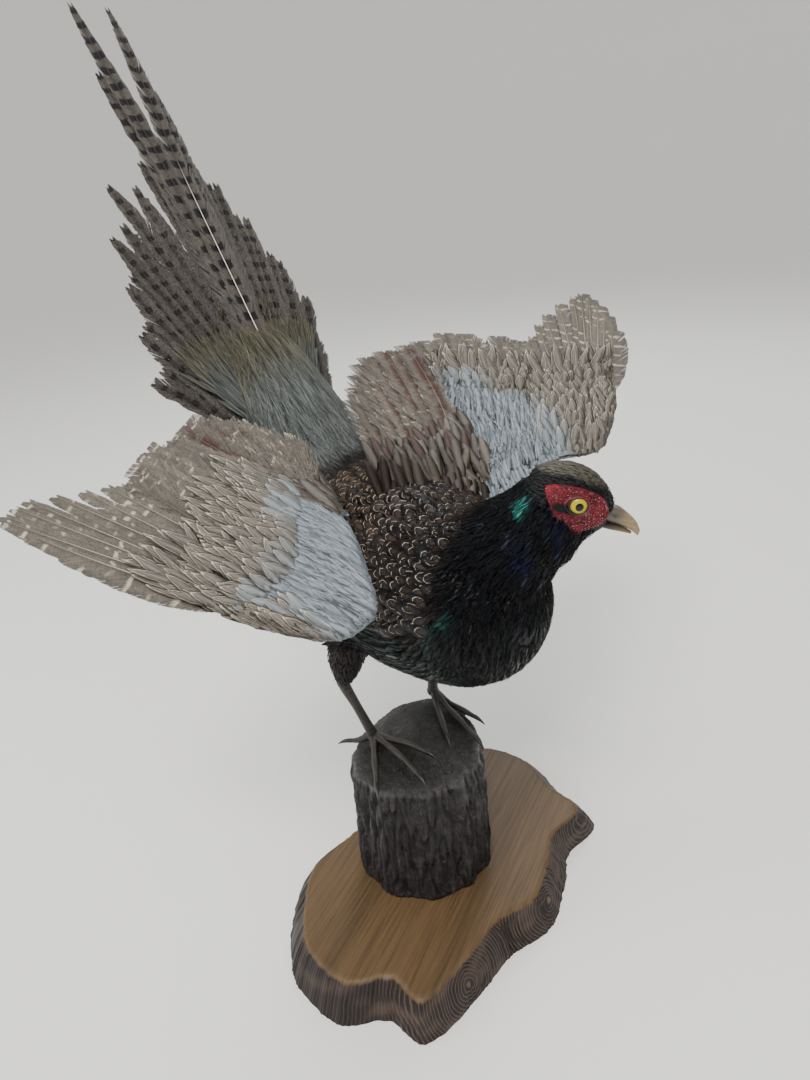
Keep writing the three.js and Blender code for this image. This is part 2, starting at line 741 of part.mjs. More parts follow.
function shank(leg, grow = 0) {
  const ankleAbove = [leg.ankle[0] + 8, leg.ankle[1], leg.ankle[2] + 9];
  const points = [ankleAbove, leg.ankle, leg.foot.map((v, k) => (v + leg.ankle[k]) / 2), leg.foot];
  const radii = [3, SHANK_RADIUS + 1, SHANK_RADIUS, SHANK_RADIUS + 0.6];
  return roundLimb(points, radii, 8, 5, grow);
}

// One toe runs from the foot joint out over the stump and ends at its claw's root.
function toePath(leg, [tx, ty]) {
  const [fx, fy, fz] = leg.foot;
  const rest = (share) => {
    const x = lerp(fx, tx, share);
    const y = lerp(fy, ty, share);
    return [x, y, lerp(fz, stumpTop(x, y) + TOE_RADIUS + 0.7, Math.min(1, share * 2.4))];
  };
  return [rest(0), rest(0.35), rest(0.7), rest(1)];
}

function foot(leg, grow = 0) {
  let body = ball(V(...leg.foot).add(V(0, 0, -1)), TOE_RADIUS + 2 + grow, 6);
  leg.toes.forEach((toe) => {
    const radii = [TOE_RADIUS + 0.3, TOE_RADIUS, TOE_RADIUS - 0.2, TOE_RADIUS - 0.8];
    body = body.add(roundLimb(toePath(leg, toe), radii, 5, 4, grow));
  });
  return body;
}

function claw(leg, toe) {
  const path = toePath(leg, toe);
  const end = V(...path[3]);
  const out = end.clone().sub(V(...path[2])).normalize();
  const points = [0, 4, 8, 12].map((d) => {
    const p = end.clone().addScaledVector(out, d);
    return p.setZ(Math.max(p.z, stumpTop(p.x, p.y) + 1.4) - (d * d) / 60).toArray();
  });
  return roundLimb(points, [CLAW_RADIUS, CLAW_RADIUS, 1.2, 0.4], 5, 4);
}

function spur(leg) {
  const base = V(...leg.foot).lerp(V(...leg.ankle), 0.42);
  const points = [1, 5, 9, 13].map((d) => base.clone().add(V(-d, 0, d * 0.15)).toArray());
  return roundLimb(points, [2.6, 2.3, 1.5, 0.4], 6, 4);
}

// ---- Assembly ---------------------------------------------------------------------------

add('stand_board', board(), COLOURS.board, 0.45);
add('stand_stump', stump(), COLOURS.bark, 0.9);

const bodyGrown = bodyAndRump(GAP);
const [trunkBody, rumpBody] = part(bodyAndRump(), RUMP_CUT, RUMP_CUT_DIRECTION);
add('trunk', trunkBody, COLOURS.blackGreen, 0.6);
add('rump', rumpBody, COLOURS.rump, 0.8);

const headGrown = headWhole(GAP);
const headPieces = head();
const neckBody = neck().subtract(bodyGrown).subtract(headGrown).subtract(headPieces.wattleRoom);
add('neck', largest(neckBody), COLOURS.blackGreen, 0.5);
add('head', headPieces.flesh, COLOURS.crown, 0.7);
for (const side of ['left', 'right']) {
  add(`eye_${side}`, headPieces[`eye_${side}`], COLOURS.iris, 0.15);
  add(`wattle_${side}`, headPieces[`wattle_${side}`], COLOURS.wattle, 0.8);
}
add('bill_upper', bill(BILL_UPPER).subtract(bill(BILL_LOWER, GAP)), COLOURS.horn, 0.4);
add('bill_lower', bill(BILL_LOWER), COLOURS.horn, 0.4);

const tailFans = tail();
for (const name of ['centre', 'left', 'right']) {
  add(`tail_${name}`, largest(tailFans[name].subtract(bodyGrown)), COLOURS.tail, 0.8);
}

for (const side of ['right', 'left']) {
  const w = wing(side, bodyGrown);
  const clear = (body) => largest(body.subtract(w.grown).subtract(bodyGrown));
  add(`wing_${side}_arm`, w.arm, COLOURS.covert, 0.8);
  add(`wing_${side}_hand`, w.hand, COLOURS.flight, 0.8);
  add(`wing_${side}_primaries`, clear(w.primaries), COLOURS.flight, 0.7);
  add(`wing_${side}_secondaries`, clear(w.secondaries), COLOURS.flight, 0.7);
  add(`wing_${side}_tertials`, clear(w.tertials), COLOURS.tertial, 0.7);
}

for (const side of ['right', 'left']) {
  const leg = LEGS[side];
  const thighBody = largest(thigh(leg).subtract(bodyGrown));
  const shankBody = largest(shank(leg).subtract(thigh(leg, GAP)));
  const stumpGrown = stump(GAP);
  const footBody = largest(foot(leg).subtract(shank(leg, GAP)).subtract(stumpGrown));
  add(`leg_${side}_thigh`, thighBody, COLOURS.thigh, 0.8);
  add(`leg_${side}_shank`, shankBody, COLOURS.scale, 0.6);
  add(`leg_${side}_foot`, footBody, COLOURS.scale, 0.6);
  add(`leg_${side}_spur`, largest(spur(leg).subtract(shank(leg, GAP))), COLOURS.claw, 0.4);
  leg.toes.forEach((toe, i) => {
    const body = claw(leg, toe).subtract(foot(leg, GAP)).subtract(stumpGrown);
    add(`claw_${side}_${i + 1}`, largest(body), COLOURS.claw, 0.4);
  });
}

export default model;
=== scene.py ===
import math

import bpy
import numpy as np
from bpy.props import FloatProperty, FloatVectorProperty, PointerProperty
from mathutils import Matrix, Vector
from mathutils.bvhtree import BVHTree


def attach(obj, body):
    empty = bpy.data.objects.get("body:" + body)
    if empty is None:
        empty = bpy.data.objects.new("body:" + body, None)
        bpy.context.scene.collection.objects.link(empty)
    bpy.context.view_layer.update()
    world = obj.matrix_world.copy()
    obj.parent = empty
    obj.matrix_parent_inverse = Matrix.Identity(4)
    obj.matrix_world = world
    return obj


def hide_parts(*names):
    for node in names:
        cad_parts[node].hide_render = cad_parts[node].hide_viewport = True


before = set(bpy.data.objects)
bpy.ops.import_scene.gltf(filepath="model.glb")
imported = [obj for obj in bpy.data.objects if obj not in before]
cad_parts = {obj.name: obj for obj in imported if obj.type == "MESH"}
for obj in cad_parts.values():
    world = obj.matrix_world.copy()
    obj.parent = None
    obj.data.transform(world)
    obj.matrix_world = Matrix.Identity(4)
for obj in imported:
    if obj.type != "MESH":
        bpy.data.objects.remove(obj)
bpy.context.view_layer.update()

bl_info = {
    "name": "Mounted green pheasant",
    "version": (1, 0, 0),
    "blender": (4, 5, 0),
    "location": "View3D > Sidebar > Pheasant",
    "description": "Skin, plumage, legs and stand of a mounted green pheasant cock",
    "category": "Object",
}

# Lengths in the shape functions are millimetres; MM turns them into the scene's metres.
MM = 0.001

# ---- Driving sizes, as in the solids

BODY_Y = 17
BOARD_THICKNESS, BOARD_FLARE = 26, 14
STUMP_RADIUS, STUMP_RIM_RADIUS = 53, 50
STUMP_RIM_HEIGHT, STUMP_RIM_RISE, STUMP_DOME = 120, 15, 7
EYE_SPREAD = 13.2
HEAD_YAW, HEAD_DIP = 50, 22.5
HEAD_CENTRE = np.array([115.7, 54.8, 348.0])
TAIL_RISE = 51.2
TAIL_ROOT = np.array([-112.0, BODY_Y, 322.0])
SHANK_RADIUS, TOE_RADIUS = 3.6, 2.9
# Knots in the board's edge, and the spacing of its growth rings and ribs.
KNOTS, KNOT_HEIGHT = [[96, 41], [111, -50], [47, 119], [8, 128]], 13
GROWTH_RING, EDGE_RIBS = 0.0025, 330
# The ringed side of the edge lies this way, from this far out; the other side is ribbed.
RINGED_WAY, RINGED_FROM = (0.57, 0.82, 0.0), (-0.05, -0.02)

BOARD_LOBES = [
    [-180, 62], [-145, 64], [-120, 90], [-100, 106], [-82, 125], [-63, 133], [-50, 121],
    [-40, 137], [-22, 108], [-5, 92], [15, 99], [37, 98], [54, 103], [66, 132], [81, 124],
    [98, 132], [118, 128], [140, 86], [160, 67],
]

TRUNK_STATIONS = [
    [113, 18, 268, 5, 6], [105, 18, 268, 30, 32], [86, 18, 269, 49, 51], [50, 17, 270, 63, 64],
    [8, 17, 274, 70, 72], [-36, 17, 280, 68, 70], [-76, 17, 293, 61, 59], [-108, 17, 316, 53, 46],
    [-134, 17, 348, 46, 33], [-162, 17, 383, 39, 21], [-190, 17, 415, 31, 10], [-203, 17, 430, 20, 4],
]
NECK_STATIONS = [
    [52, 20, 288, 48, 50], [70, 23, 300, 43, 45], [85, 31, 314, 32, 36], [97, 39, 328, 26, 30],
    [105, 46, 340, 22, 26], [110, 50, 349, 16, 18],
]
HEAD_STATIONS = [
    [-30, 5, -12, 4], [-26, 11, -20, 11], [-17, 17, -27, 15.5], [-6, 19, -27, 17], [4, 18, -27, 16.5],
    [13, 14, -24, 13.5], [20, 8, -18, 9.5], [25, 2.5, -12.5, 5],
]
BILL_UPPER = [
    [18, -1, -8.6, 6.5], [26, 1.5, -8.8, 6], [33, -0.5, -9.2, 4.6], [40, -4, -10.6, 3],
    [44.5, -8.5, -12.4, 1.3],
]
BILL_LOWER = [
    [18, -9, -13.5, 6], [26, -9.2, -13.4, 5], [34, -9.8, -12.8, 3.4], [40, -11.1, -12.6, 1.6],
]
WATTLE_OUTLINE = [
    [-21, 4], [-9, 9], [6, 9], [15, 5.5], [20, -1], [19, -8.5], [12, -12], [6, -19], [-1, -25],
    [-8, -17], [-15, -6],
]
WINGS = {
    "right": dict(
        sign=-1, wrist=[101, -88, 312], tip=[-84, -216, 365.5], roll=30,
        arm=[
            [40, -15, 0, 88, -14, 0, 2.5], [13, -13, 0, 104, -10, 0, 10], [0, 0, 0, 106, 6, 0, 14],
            [-3, 15, 0, 98, 24, 0, 16], [15, 40, -1, 96, 50, 0, 18], [31, 63, -14, 100, 74, -3, 22],
            [45, 84, -34, 106, 95, -14, 24], [52, 98, -56, 110, 112, -34, 24],
        ],
        primary_roots=[[72, -6, -1], [8, 4, -1]],
        primary_tips=[[208, -3], [222, 0], [231, 2], [229, 10], [223, 19], [203, 29], [186, 40], [176, 45]],
        secondary_roots=[[14, 12, -1], [46, 70, -6]],
        secondary_tips=[[174, 49], [176, 57], [173, 74], [170, 92]],
        tertial_roots=[[54, 74, -7], [70, 96, -20]],
        tertial_tips=[[168, 96, 0], [148, 102, 0], [122, 105, -2], [104, 104, -8]],
    ),
    "left": dict(
        sign=1, wrist=[76.5, 110, 347.5], tip=[-73.5, 280, 408.5], roll=7,
        arm=[
            [60, -17, 0, 112, -14, 0, 2.5], [14, -13, 0, 110, -8, 0, 10], [-2, 0, 0, 104, 8, 0, 14],
            [-9, 20, 0, 95, 28, 0, 16], [-22, 42, -7, 90, 54, 0, 18], [-34, 60, -22, 92, 82, -3, 22],
            [-24, 78, -36, 98, 110, -14, 24], [-8, 92, -58, 98, 132, -34, 24],
        ],
        primary_roots=[[74, -8, -1], [8, 5, -1]],
        primary_tips=[[179, -18], [211, -11], [228, -3], [243, 6], [236, 15], [212, 31], [186, 40],
                      [160, 45]],
        secondary_roots=[[12, 14, -1], [20, 84, -6]],
        secondary_tips=[[152, 48], [157, 62], [156, 88], [160, 110], [146, 138]],
        tertial_roots=[[8, 86, -6], [-16, 130, -8]],
        tertial_tips=[[140, 146, 0], [124, 167, 0], [106, 178, -2], [68, 172, -8]],
    ),
}
TAIL_LEFT = [
    [454, 1.7], [384, 2.6], [338, 3], [303, 4], [273, 6.4], [238, 10.4], [195, 15], [160, 19.5], [118, 22],
]
TAIL_RIGHT = [
    [460, -1.8], [388, -2.6], [300, -3.5], [284, -10.2], [242, -15.1], [200, -19.7], [162, -26],
    [129, -34],
]
LEGS = {
    "right": dict(knee=[-16, -32, 238], ankle=[-44, -30, 181], foot=[-29, -18, 131],
                  toes=[[14, -46], [30, -21], [18, -4], [-44, -30]]),
    "left": dict(knee=[-16, 62, 238], ankle=[-44, 58, 190], foot=[-25, 40, 147],
                 toes=[[12, 22], [26, 38], [10, 50], [-38, 48]]),
}
SIDES = {"left": 1, "right": -1}
FLESH = ["trunk", "rump", "neck", "head"] + [
    part for side in ("right", "left")
    for part in (f"wing_{side}_arm", f"wing_{side}_hand", f"leg_{side}_thigh")
]

# ---- Settings


def length(name, description, value, **limits):
    return FloatProperty(name=name, description=description, default=value, unit="LENGTH", precision=4,
                         **limits)


def colour(name, description, value):
    return FloatVectorProperty(name=name, description=description, default=value, subtype="COLOR",
                               size=3, min=0.0, max=1.0)


class PheasantStand(bpy.types.PropertyGroup):
    ridge_depth: length("Bark ridges", "Depth of the stump's furrowed bark", 0.0016, min=0.0)
    rib_depth: length("Edge ribs", "Depth of the fine upright ribs in the board's edge", 0.0006, min=0.0)
    wood: colour("Wood", "Lighter colour of the board", (0.120, 0.074, 0.034))
    wood_dark: colour("Wood grain", "Darker grain lines of the board", (0.058, 0.035, 0.016))
    bark: colour("Bark", "Ground colour of the bark", (0.013, 0.010, 0.012))
    # painted highlights, partly wear: the lighter colour of the bark's ridges and rounded rim
    bark_light: colour("Bark ridges", "Worn light ridges and rim of the bark", (0.115, 0.106, 0.114))


class PheasantPlumage(bpy.types.PropertyGroup):
    coat_depth: length("Coat depth", "How far the skin lies inside the coat's surface", 0.0035, min=0.0)
    breast: colour("Breast", "Ground colour of the glossy breast", (0.0026, 0.0030, 0.0042))
    breast_green: colour("Green gloss", "Dark green gloss of the flanks", (0.003, 0.011, 0.009))
    # painted sheen: the colour of the blue-violet glints on the lower neck
    violet: colour("Violet gloss", "Blue-violet gloss of the lower neck", (0.010, 0.012, 0.085))
    mantle: colour("Mantle", "Dark centre of the mantle feathers", (0.045, 0.027, 0.018))
    fringe: colour("Fringe", "Buff lines on the mantle", (0.42, 0.36, 0.27))
    rump: colour("Rump", "Blue-grey hair-like rump", (0.118, 0.130, 0.126))
    rump_olive: colour("Tail coverts", "Olive coverts over the tail's root", (0.098, 0.092, 0.062))
    crown: colour("Crown", "Olive-grey crown", (0.085, 0.078, 0.058))
    # painted highlight: the colour of the turquoise glint of the iridescent feathers behind the face
    ear_glint: colour("Ear spot", "Turquoise spot behind the face", (0.04, 0.34, 0.28))
    thigh: colour("Thigh", "Black-brown thighs", (0.012, 0.009, 0.008))


class PheasantHead(bpy.types.PropertyGroup):
    wattle: colour("Wattle", "Red of the bare face", (0.20, 0.016, 0.028))
    iris: colour("Iris", "Yellow glass iris", (0.40, 0.335, 0.005))
    horn: colour("Bill", "Horn grey at the bill's base", (0.10, 0.088, 0.07))
    horn_tip: colour("Bill tip", "Tan tip of the bill", (0.30, 0.215, 0.11))
    papilla: length("Papilla", "Width of one papilla of the bare face", 0.0011, min=0.0002)


class PheasantWings(bpy.types.PropertyGroup):
    barb: length("Barb", "Spacing of the barbs of the flight feathers", 0.0012, min=0.0005)
    covert: colour("Coverts", "Pale blue-grey lesser coverts", (0.245, 0.285, 0.315))
    flight: colour("Flight feathers", "Grey-brown ground", (0.152, 0.138, 0.118))
    bars: colour("Bars", "Cream bars and fringes", (0.50, 0.44, 0.34))
    tertial: colour("Tertials", "Reddish-brown centres", (0.075, 0.042, 0.036))


class PheasantTail(bpy.types.PropertyGroup):
    barb: length("Barb", "Spacing of the barbs of the tail feathers", 0.0014, min=0.0005)
    bar_spacing: length("Bars", "Distance from one black bar to the next", 0.0165, min=0.004)
    ground: colour("Tail", "Grey-brown ground", (0.092, 0.083, 0.075))
    bar: colour("Tail bars", "Black bars", (0.012, 0.011, 0.012))
    shaft: colour("Shaft", "Whitish shaft of the middle feather", (0.80, 0.76, 0.66))


class PheasantLegs(bpy.types.PropertyGroup):
    scale: colour("Scales", "Dark grey-brown scales", (0.036, 0.030, 0.025))
    claw: colour("Claws", "Claws and spurs", (0.020, 0.017, 0.015))
    scute: length("Scute", "Height of one scute", 0.0034, min=0.001)


class PheasantStage(bpy.types.PropertyGroup):
    camera_place: FloatVectorProperty(name="Camera", description="Place of the camera", subtype="TRANSLATION",
                                      unit="LENGTH", size=3, default=(0.426, -0.2815, 0.538))
    azimuth: FloatProperty(name="Azimuth", description="Bearing the camera looks from", subtype="ANGLE",
                           default=math.radians(55.5))
    pitch: FloatProperty(name="Pitch", description="How far the camera looks down", subtype="ANGLE",
                         default=math.radians(24.9))
    roll: FloatProperty(name="Roll", description="Roll of the camera", subtype="ANGLE",
                        default=math.radians(6.1))
    focal: FloatProperty(name="Focal length", description="For a picture 36 mm tall", default=27.67,
                         unit="CAMERA", min=1.0)
    floor: colour("Floor", "Plain pale floor", (0.86, 0.855, 0.84))
    key: FloatProperty(name="Key light", description="Strength of the large soft light", default=40.0,
                       min=0.0)


SETTINGS = {
    "pheasant_stand": PheasantStand, "pheasant_plumage": PheasantPlumage, "pheasant_head": PheasantHead,
    "pheasant_wings": PheasantWings, "pheasant_tail": PheasantTail, "pheasant_legs": PheasantLegs,
    "pheasant_stage": PheasantStage,
}

# ---- Small numeric helpers


def unit(v):
    v = np.asarray(v, float)
    return v / np.maximum(np.linalg.norm(v, axis=-1, keepdims=True), 1e-9)


def smoothstep(low, high, x):
    t = np.clip((np.asarray(x, float) - low) / (high - low), 0, 1)
    return t * t * (3 - 2 * t)


def mix(a, b, share):
    share = np.asarray(share, float)[..., None]
    return np.asarray(a, float) * (1 - share) + np.asarray(b, float) * share


def turns(count):
    """Evenly spaced angles round a circle."""
    return np.arange(count) / count * math.tau


def circle(angle):
    return np.stack([np.cos(angle), np.sin(angle)], -1)


def at_height(flat, z):
    """Rows of x and y lifted to a height, or to one for each."""
    return np.concatenate([flat, np.broadcast_to(z, len(flat))[:, None]], 1)


def reach_along(line):
    """How far along a line each of its points lies."""
    return np.concatenate([[0], np.cumsum(np.linalg.norm(np.diff(line, axis=0), axis=1))])


def smooth_rows(rows, t):
    """Rows of numbers followed by a smooth curve, read at shares t of its length."""
    rows = np.asarray(rows, float)
    x = np.clip(np.atleast_1d(t), 0, 1) * (len(rows) - 1)
    i = np.minimum(x.astype(int), len(rows) - 2)
    w = (x - i)[:, None]
    padded = np.vstack([2 * rows[0] - rows[1], rows, 2 * rows[-1] - rows[-2]])
    p0, p1, p2, p3 = padded[i], padded[i + 1], padded[i + 2], padded[i + 3]
    m1, m2 = (p2 - p0) / 2, (p3 - p1) / 2
    return ((2 * w**3 - 3 * w**2 + 1) * p1 + (w**3 - 2 * w**2 + w) * m1
            + (3 * w**2 - 2 * w**3) * p2 + (w**3 - w**2) * m2)


def closed_curve(points, count):
    """A closed smooth outline through points, whose corners don't overshoot."""
    p = np.asarray(points, float)
    n = len(p)
    out = []
    for k in range(count):
        x = k / count * n
        i, w = int(x), x - int(x)
        a, b, c, d = p[(i - 1) % n], p[i % n], p[(i + 1) % n], p[(i + 2) % n]
        da, db, dc = (np.linalg.norm(q) ** 0.5 for q in (b - a, c - b, d - c))
        t1 = ((b - a) / da - (c - a) / (da + db) + (c - b) / db) * db
        t2 = ((c - b) / db - (d - b) / (db + dc) + (d - c) / dc) * db
        out.append(b + t1 * w + (3 * (c - b) - 2 * t1 - t2) * w**2 + (2 * (b - c) + t1 + t2) * w**3)
    return np.array(out)


def ripple(p, scale, seed=0):
    """Smooth repeatable noise from -1 to 1 at points p, with features about 1/scale across."""
    rng = np.random.default_rng(seed)
    total = np.zeros(np.asarray(p).shape[:-1])
    for _ in range(6):
        wave = rng.normal(size=np.asarray(p).shape[-1]) * scale
        total = total + np.sin(np.asarray(p) @ wave + rng.uniform(0, 6.28))
    return total / 6 ** 0.5 / 1.4


# The seed of each piece's own random draws.
SEEDS = dict(breast=11, mantle=12, rump=13, neck=14, head=15, thighs=16, tail_coverts=17, papillae=21,
             tail=31, flight_left=41, flight_right=42, coverts_left=51, coverts_right=52, scapulars=53)


def drawn(name):
    return np.random.default_rng(SEEDS[name])


# ---- Meshes


def vertex_rows(mesh, key="co"):
    """One row for each vertex of a mesh: its place or, with key "normal", its normal."""
    rows = np.empty(len(mesh.vertices) * 3)
    mesh.vertices.foreach_get(key, rows)
    return rows.reshape(-1, 3)


def triangles(mesh):
    mesh.calc_loop_triangles()
    corners = np.empty(len(mesh.loop_triangles) * 3, np.int32)
    mesh.loop_triangles.foreach_get("vertices", corners)
    return corners.reshape(-1, 3)


def dress(mesh, uvs, tint):
    """Gives a mesh its unwraps, one pair per point, its tint and smooth shading."""
    loops = np.empty(len(mesh.loops), np.int32)
    mesh.loops.foreach_get("vertex_index", loops)
    for layer, pairs in (uvs or {}).items():
        data = mesh.uv_layers.new(name=layer).data
        data.foreach_set("uv", np.asarray(pairs, float).reshape(-1, 2)[loops].astype(np.float32).ravel())
    if tint is not None:
        rgba = np.ones((len(mesh.vertices), 4), np.float32)
        rgba[:, :3] = np.asarray(tint).reshape(-1, 3)
        mesh.attributes.new("Tint", "FLOAT_COLOR", "POINT").data.foreach_set("color", rgba.ravel())
    mesh.polygons.foreach_set("use_smooth", np.ones(len(mesh.polygons), bool))


def mesh_object(name, points, faces, uvs=None, tint=None):
    """An object from points in millimetres. uvs maps a layer's name to one pair per point."""
    mesh = bpy.data.meshes.new(name)
    points = np.asarray(points, float).reshape(-1, 3) * MM
    if isinstance(faces, np.ndarray):
        mesh.vertices.add(len(points))
        mesh.vertices.foreach_set("co", points.ravel())
        mesh.loops.add(faces.size)
        mesh.loops.foreach_set("vertex_index", faces.ravel().astype(np.int32))
        mesh.polygons.add(len(faces))
        mesh.polygons.foreach_set("loop_start", np.arange(0, faces.size, faces.shape[1], dtype=np.int32))
        mesh.update(calc_edges=True)
    else:
        mesh.from_pydata(points.tolist(), [], faces)
        mesh.update()
    dress(mesh, uvs, tint)
    obj = bpy.data.objects.new(name, mesh)
    bpy.context.scene.collection.objects.link(obj)
    return obj


def finish_piece(obj, material, replaced=()):
    """Gives a piece its material, hides the solids it stands for, and lets it ride on the body."""
    obj.data.materials.append(material)
    if replaced:
        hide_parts(*replaced)
    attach(obj, "root")
    return obj


def feather_piece(strips, name, finish_name, roughness, streak, gloss):
    """A coat piece of plain vane feathers and barbs."""
    return finish_piece(strips.object(name), feather_finish(finish_name, roughness, streak, gloss))


def ring_faces(rings, around):
    """Quads between rings of points, each ring in order, outward when they turn left."""
    r, k = np.meshgrid(np.arange(rings - 1), np.arange(around), indexing="ij")
    a = r * around + k
    b = r * around + (k + 1) % around
    return np.stack([a, b, b + around, a + around], -1).reshape(-1, 4)


def folded_map(rings, around):
    """An unwrap of a closed body through rings, folded so that its two halves share it."""
    v, u = np.meshgrid(np.linspace(0.02, 0.98, rings), np.arange(around) / around, indexing="ij")
    flat = np.stack([0.02 + 0.96 * np.abs(2 * u - 1), v], -1).reshape(-1, 2)
    return np.vstack([flat, [0.5, 0.0], [0.5, 1.0]])


def signed_volume(points, corners):
    """Six times the volume inside triangles, below zero where they face inward."""
    a, b, c = points[corners].transpose(1, 0, 2)
    return np.einsum("ij,ij->i", a, np.cross(b, c)).sum()


def ring_body(rings):
    """Points and outward faces of a closed body through rings (R, K, 3), with a hub in each end."""
    rings = np.asarray(rings, float)
    count, around = rings.shape[:2]
    points = np.vstack([rings.reshape(-1, 3), rings[0].mean(0), rings[-1].mean(0)])
    quads = ring_faces(count, around)
    hub, last = count * around, (count - 1) * around
    k = np.arange(around)
    beyond = (k + 1) % around
    caps = np.vstack([np.stack([k * 0 + hub, beyond, k], -1),
                      np.stack([k * 0 + hub + 1, last + k, last + beyond], -1)])
    if signed_volume(points, np.vstack([quads[:, :3], quads[:, [0, 2, 3]], caps])) < 0:
        quads, caps = quads[:, ::-1], caps[:, ::-1]
    return points, quads.tolist() + caps.tolist()


def loft_object(name, rings, uvs=None, tint=None):
    """One closed body through rings."""
    points, faces = ring_body(rings)
    if tint is not None:
        tint = np.vstack([tint.reshape(-1, 3), tint[0].mean(0), tint[-1].mean(0)])
    return mesh_object(name, points, faces, uvs or {"OFBake": folded_map(*np.shape(rings)[:2])}, tint)


def outward(obj):
    """Turns a closed mesh inside out if its volume is negative."""
    if signed_volume(vertex_rows(obj.data), triangles(obj.data)) < 0:
        obj.data.flip_normals()


class Strips:
    """Many thin closed strips gathered into one mesh: barbs, vanes, shafts and tufts."""

    def __init__(self):
        self.points, self.faces, self.bake, self.vane, self.tint = [], [], [], [], []
        self.count = 0

    def add(self, centre, side, up, half, thick, ridge, bake, vane, tint):
        """centre, side, up: (N, R, 3); half, thick, ridge: (N, R); bake, vane: (N, R, 4, 2)."""
        n, rings = half.shape
        corners = np.stack([
            centre - side * half[..., None], centre + up * ridge[..., None],
            centre + side * half[..., None], centre + up * (ridge - thick)[..., None],
        ], axis=2)
        base = np.arange(n)[:, None, None] * rings * 4
        one = ring_faces(rings, 4)
        caps = np.array([[3, 2, 1, 0], [rings * 4 - 4, rings * 4 - 3, rings * 4 - 2, rings * 4 - 1]])
        pattern = np.vstack([one, caps])[None]
        self.faces.append((pattern + base + self.count).reshape(-1, 4))
        self.points.append(corners.reshape(-1, 3))
        self.bake.append(np.broadcast_to(bake, (n, rings, 4, 2)).reshape(-1, 2))
        self.vane.append(np.broadcast_to(vane, (n, rings, 4, 2)).reshape(-1, 2))
        self.tint.append(np.broadcast_to(tint, (n, rings, 4, 3)).reshape(-1, 3))
        self.count += n * rings * 4

    def object(self, name):
        uvs = {"OFBake": np.vstack(self.bake), "Vane": np.vstack(self.vane)}
        return mesh_object(name, np.vstack(self.points), np.vstack(self.faces), uvs, np.vstack(self.tint))


# ---- Finishes


class Finish:
    """A procedural material: small helpers that add nodes and return their outputs."""

    def __init__(self, name, **sockets):
        self.material = bpy.data.materials.new(name)
        self.material.use_nodes = True
        self.tree = self.material.node_tree
        self.shader = self.tree.nodes["Principled BSDF"]
        for key, value in sockets.items():
            self.shader.inputs[key.replace("_", " ")].default_value = value

    def node(self, kind, *values, out=0, **props):
        node = self.tree.nodes.new("ShaderNode" + kind)
        for key, value in props.items():
            setattr(node, key, value)
        for socket, value in zip(node.inputs, values):
            self.put(socket, value)
        return node.outputs[out]

    def put(self, socket, value):
        if value is None:
            return
        if isinstance(value, bpy.types.NodeSocket):
            self.tree.links.new(value, socket)
        elif socket.type == "RGBA" and len(value) == 3:
            socket.default_value = (*value, 1)
        else:
            socket.default_value = value

    def set(self, **sockets):
        for key, value in sockets.items():
            self.put(self.shader.inputs[key.replace("_", " ")], value)
        return self.material

    def math(self, operation, *values):
        return self.node("Math", *values, operation=operation)

    def times(self, a, b):
        return self.math("MULTIPLY", a, b)

    def plus(self, a, b):
        return self.math("ADD", a, b)

    def less(self, a, b):
        return self.math("SUBTRACT", a, b)

    def rest(self, share):
        return self.less(1.0, share)

    def noise(self, vector, scale, detail=2.0, rough=0.5):
        return self.node("TexNoise", vector, None, scale, detail, rough)

    def step(self, value, low, high):
        node = self.tree.nodes.new("ShaderNodeMapRange")
        node.interpolation_type = "SMOOTHSTEP"
        for key, item in (("Value", value), ("From Min", low), ("From Max", high)):
            self.put(node.inputs[key], item)
        return node.outputs[0]

    def mix(self, share, a, b, blend="MIX"):
        node = self.tree.nodes.new("ShaderNodeMix")
        node.data_type = "RGBA"
        node.blend_type = blend
        for index, item in ((0, share), (6, a), (7, b)):
            self.put(node.inputs[index], item)
        return node.outputs[2]

    def tint(self):
        return self.node("Attribute", attribute_name="Tint", attribute_type="GEOMETRY")

    def grained(self, noise, low, high, share, dark):
        """The piece's own tint, darkened where noise is low."""
        tint = self.tint()
        return self.mix(self.step(noise, low, high), self.mix(share, tint, dark, "MULTIPLY"), tint)

    def place(self):
        return self.node("TexCoord", out=3)

    def stretched(self, vector, scale):
        node = self.tree.nodes.new("ShaderNodeMapping")
        self.put(node.inputs[0], vector)
        node.inputs["Scale"].default_value = scale
        return node.outputs[0]

    def vane(self):
        """Across and along outputs of the Vane layer."""
        split = self.tree.nodes.new("ShaderNodeSeparateXYZ")
        self.put(split.inputs[0], self.node("UVMap", uv_map="Vane"))
        return split.outputs[0], split.outputs[1]

    def from_shaft(self, across):
        """0 on a feather's shaft and 1 at its edges."""
        return self.times(self.math("ABSOLUTE", self.less(across, 0.5)), 2.0)

    def fineness(self, cells):
        """A number that differs from place to place, for cells of them in a metre."""
        return self.node("SeparateXYZ", self.stretched(self.place(), (cells, cells, cells)))

    def bump(self, height, strength, distance):
        node = self.tree.nodes.new("ShaderNodeBump")
        node.inputs["Strength"].default_value = strength
        node.inputs["Distance"].default_value = distance
        self.put(node.inputs["Height"], height)
        return node.outputs[0]


def feather_finish(name, roughness, streak, gloss):
    """Small feathers: the piece's own tint with fine barbs that run out from each shaft."""
    f = Finish(name, Roughness=roughness, Specular_IOR_Level=gloss)
    across, along = f.vane()
    out = f.from_shaft(across)
    narrowing = f.rest(f.times(along, 0.4))
    where = f.node("CombineXYZ", f.times(f.math("DIVIDE", across, narrowing), 16.0),
                   f.less(f.times(along, 5.0), f.times(out, 1.5)),
                   f.fineness(60))
    lines = f.noise(where, 1.0, 3.0, 0.65)
    shade = f.step(lines, 0.3, 0.7)
    dark = f.mix(streak, f.tint(), (0.3, 0.3, 0.3), "MULTIPLY")
    light = f.mix(streak * 0.45, f.tint(), (0.9, 0.9, 0.9), "SOFT_LIGHT")
    return f.set(Base_Color=f.mix(shade, dark, light), Normal=f.bump(lines, 0.5, 0.0003))


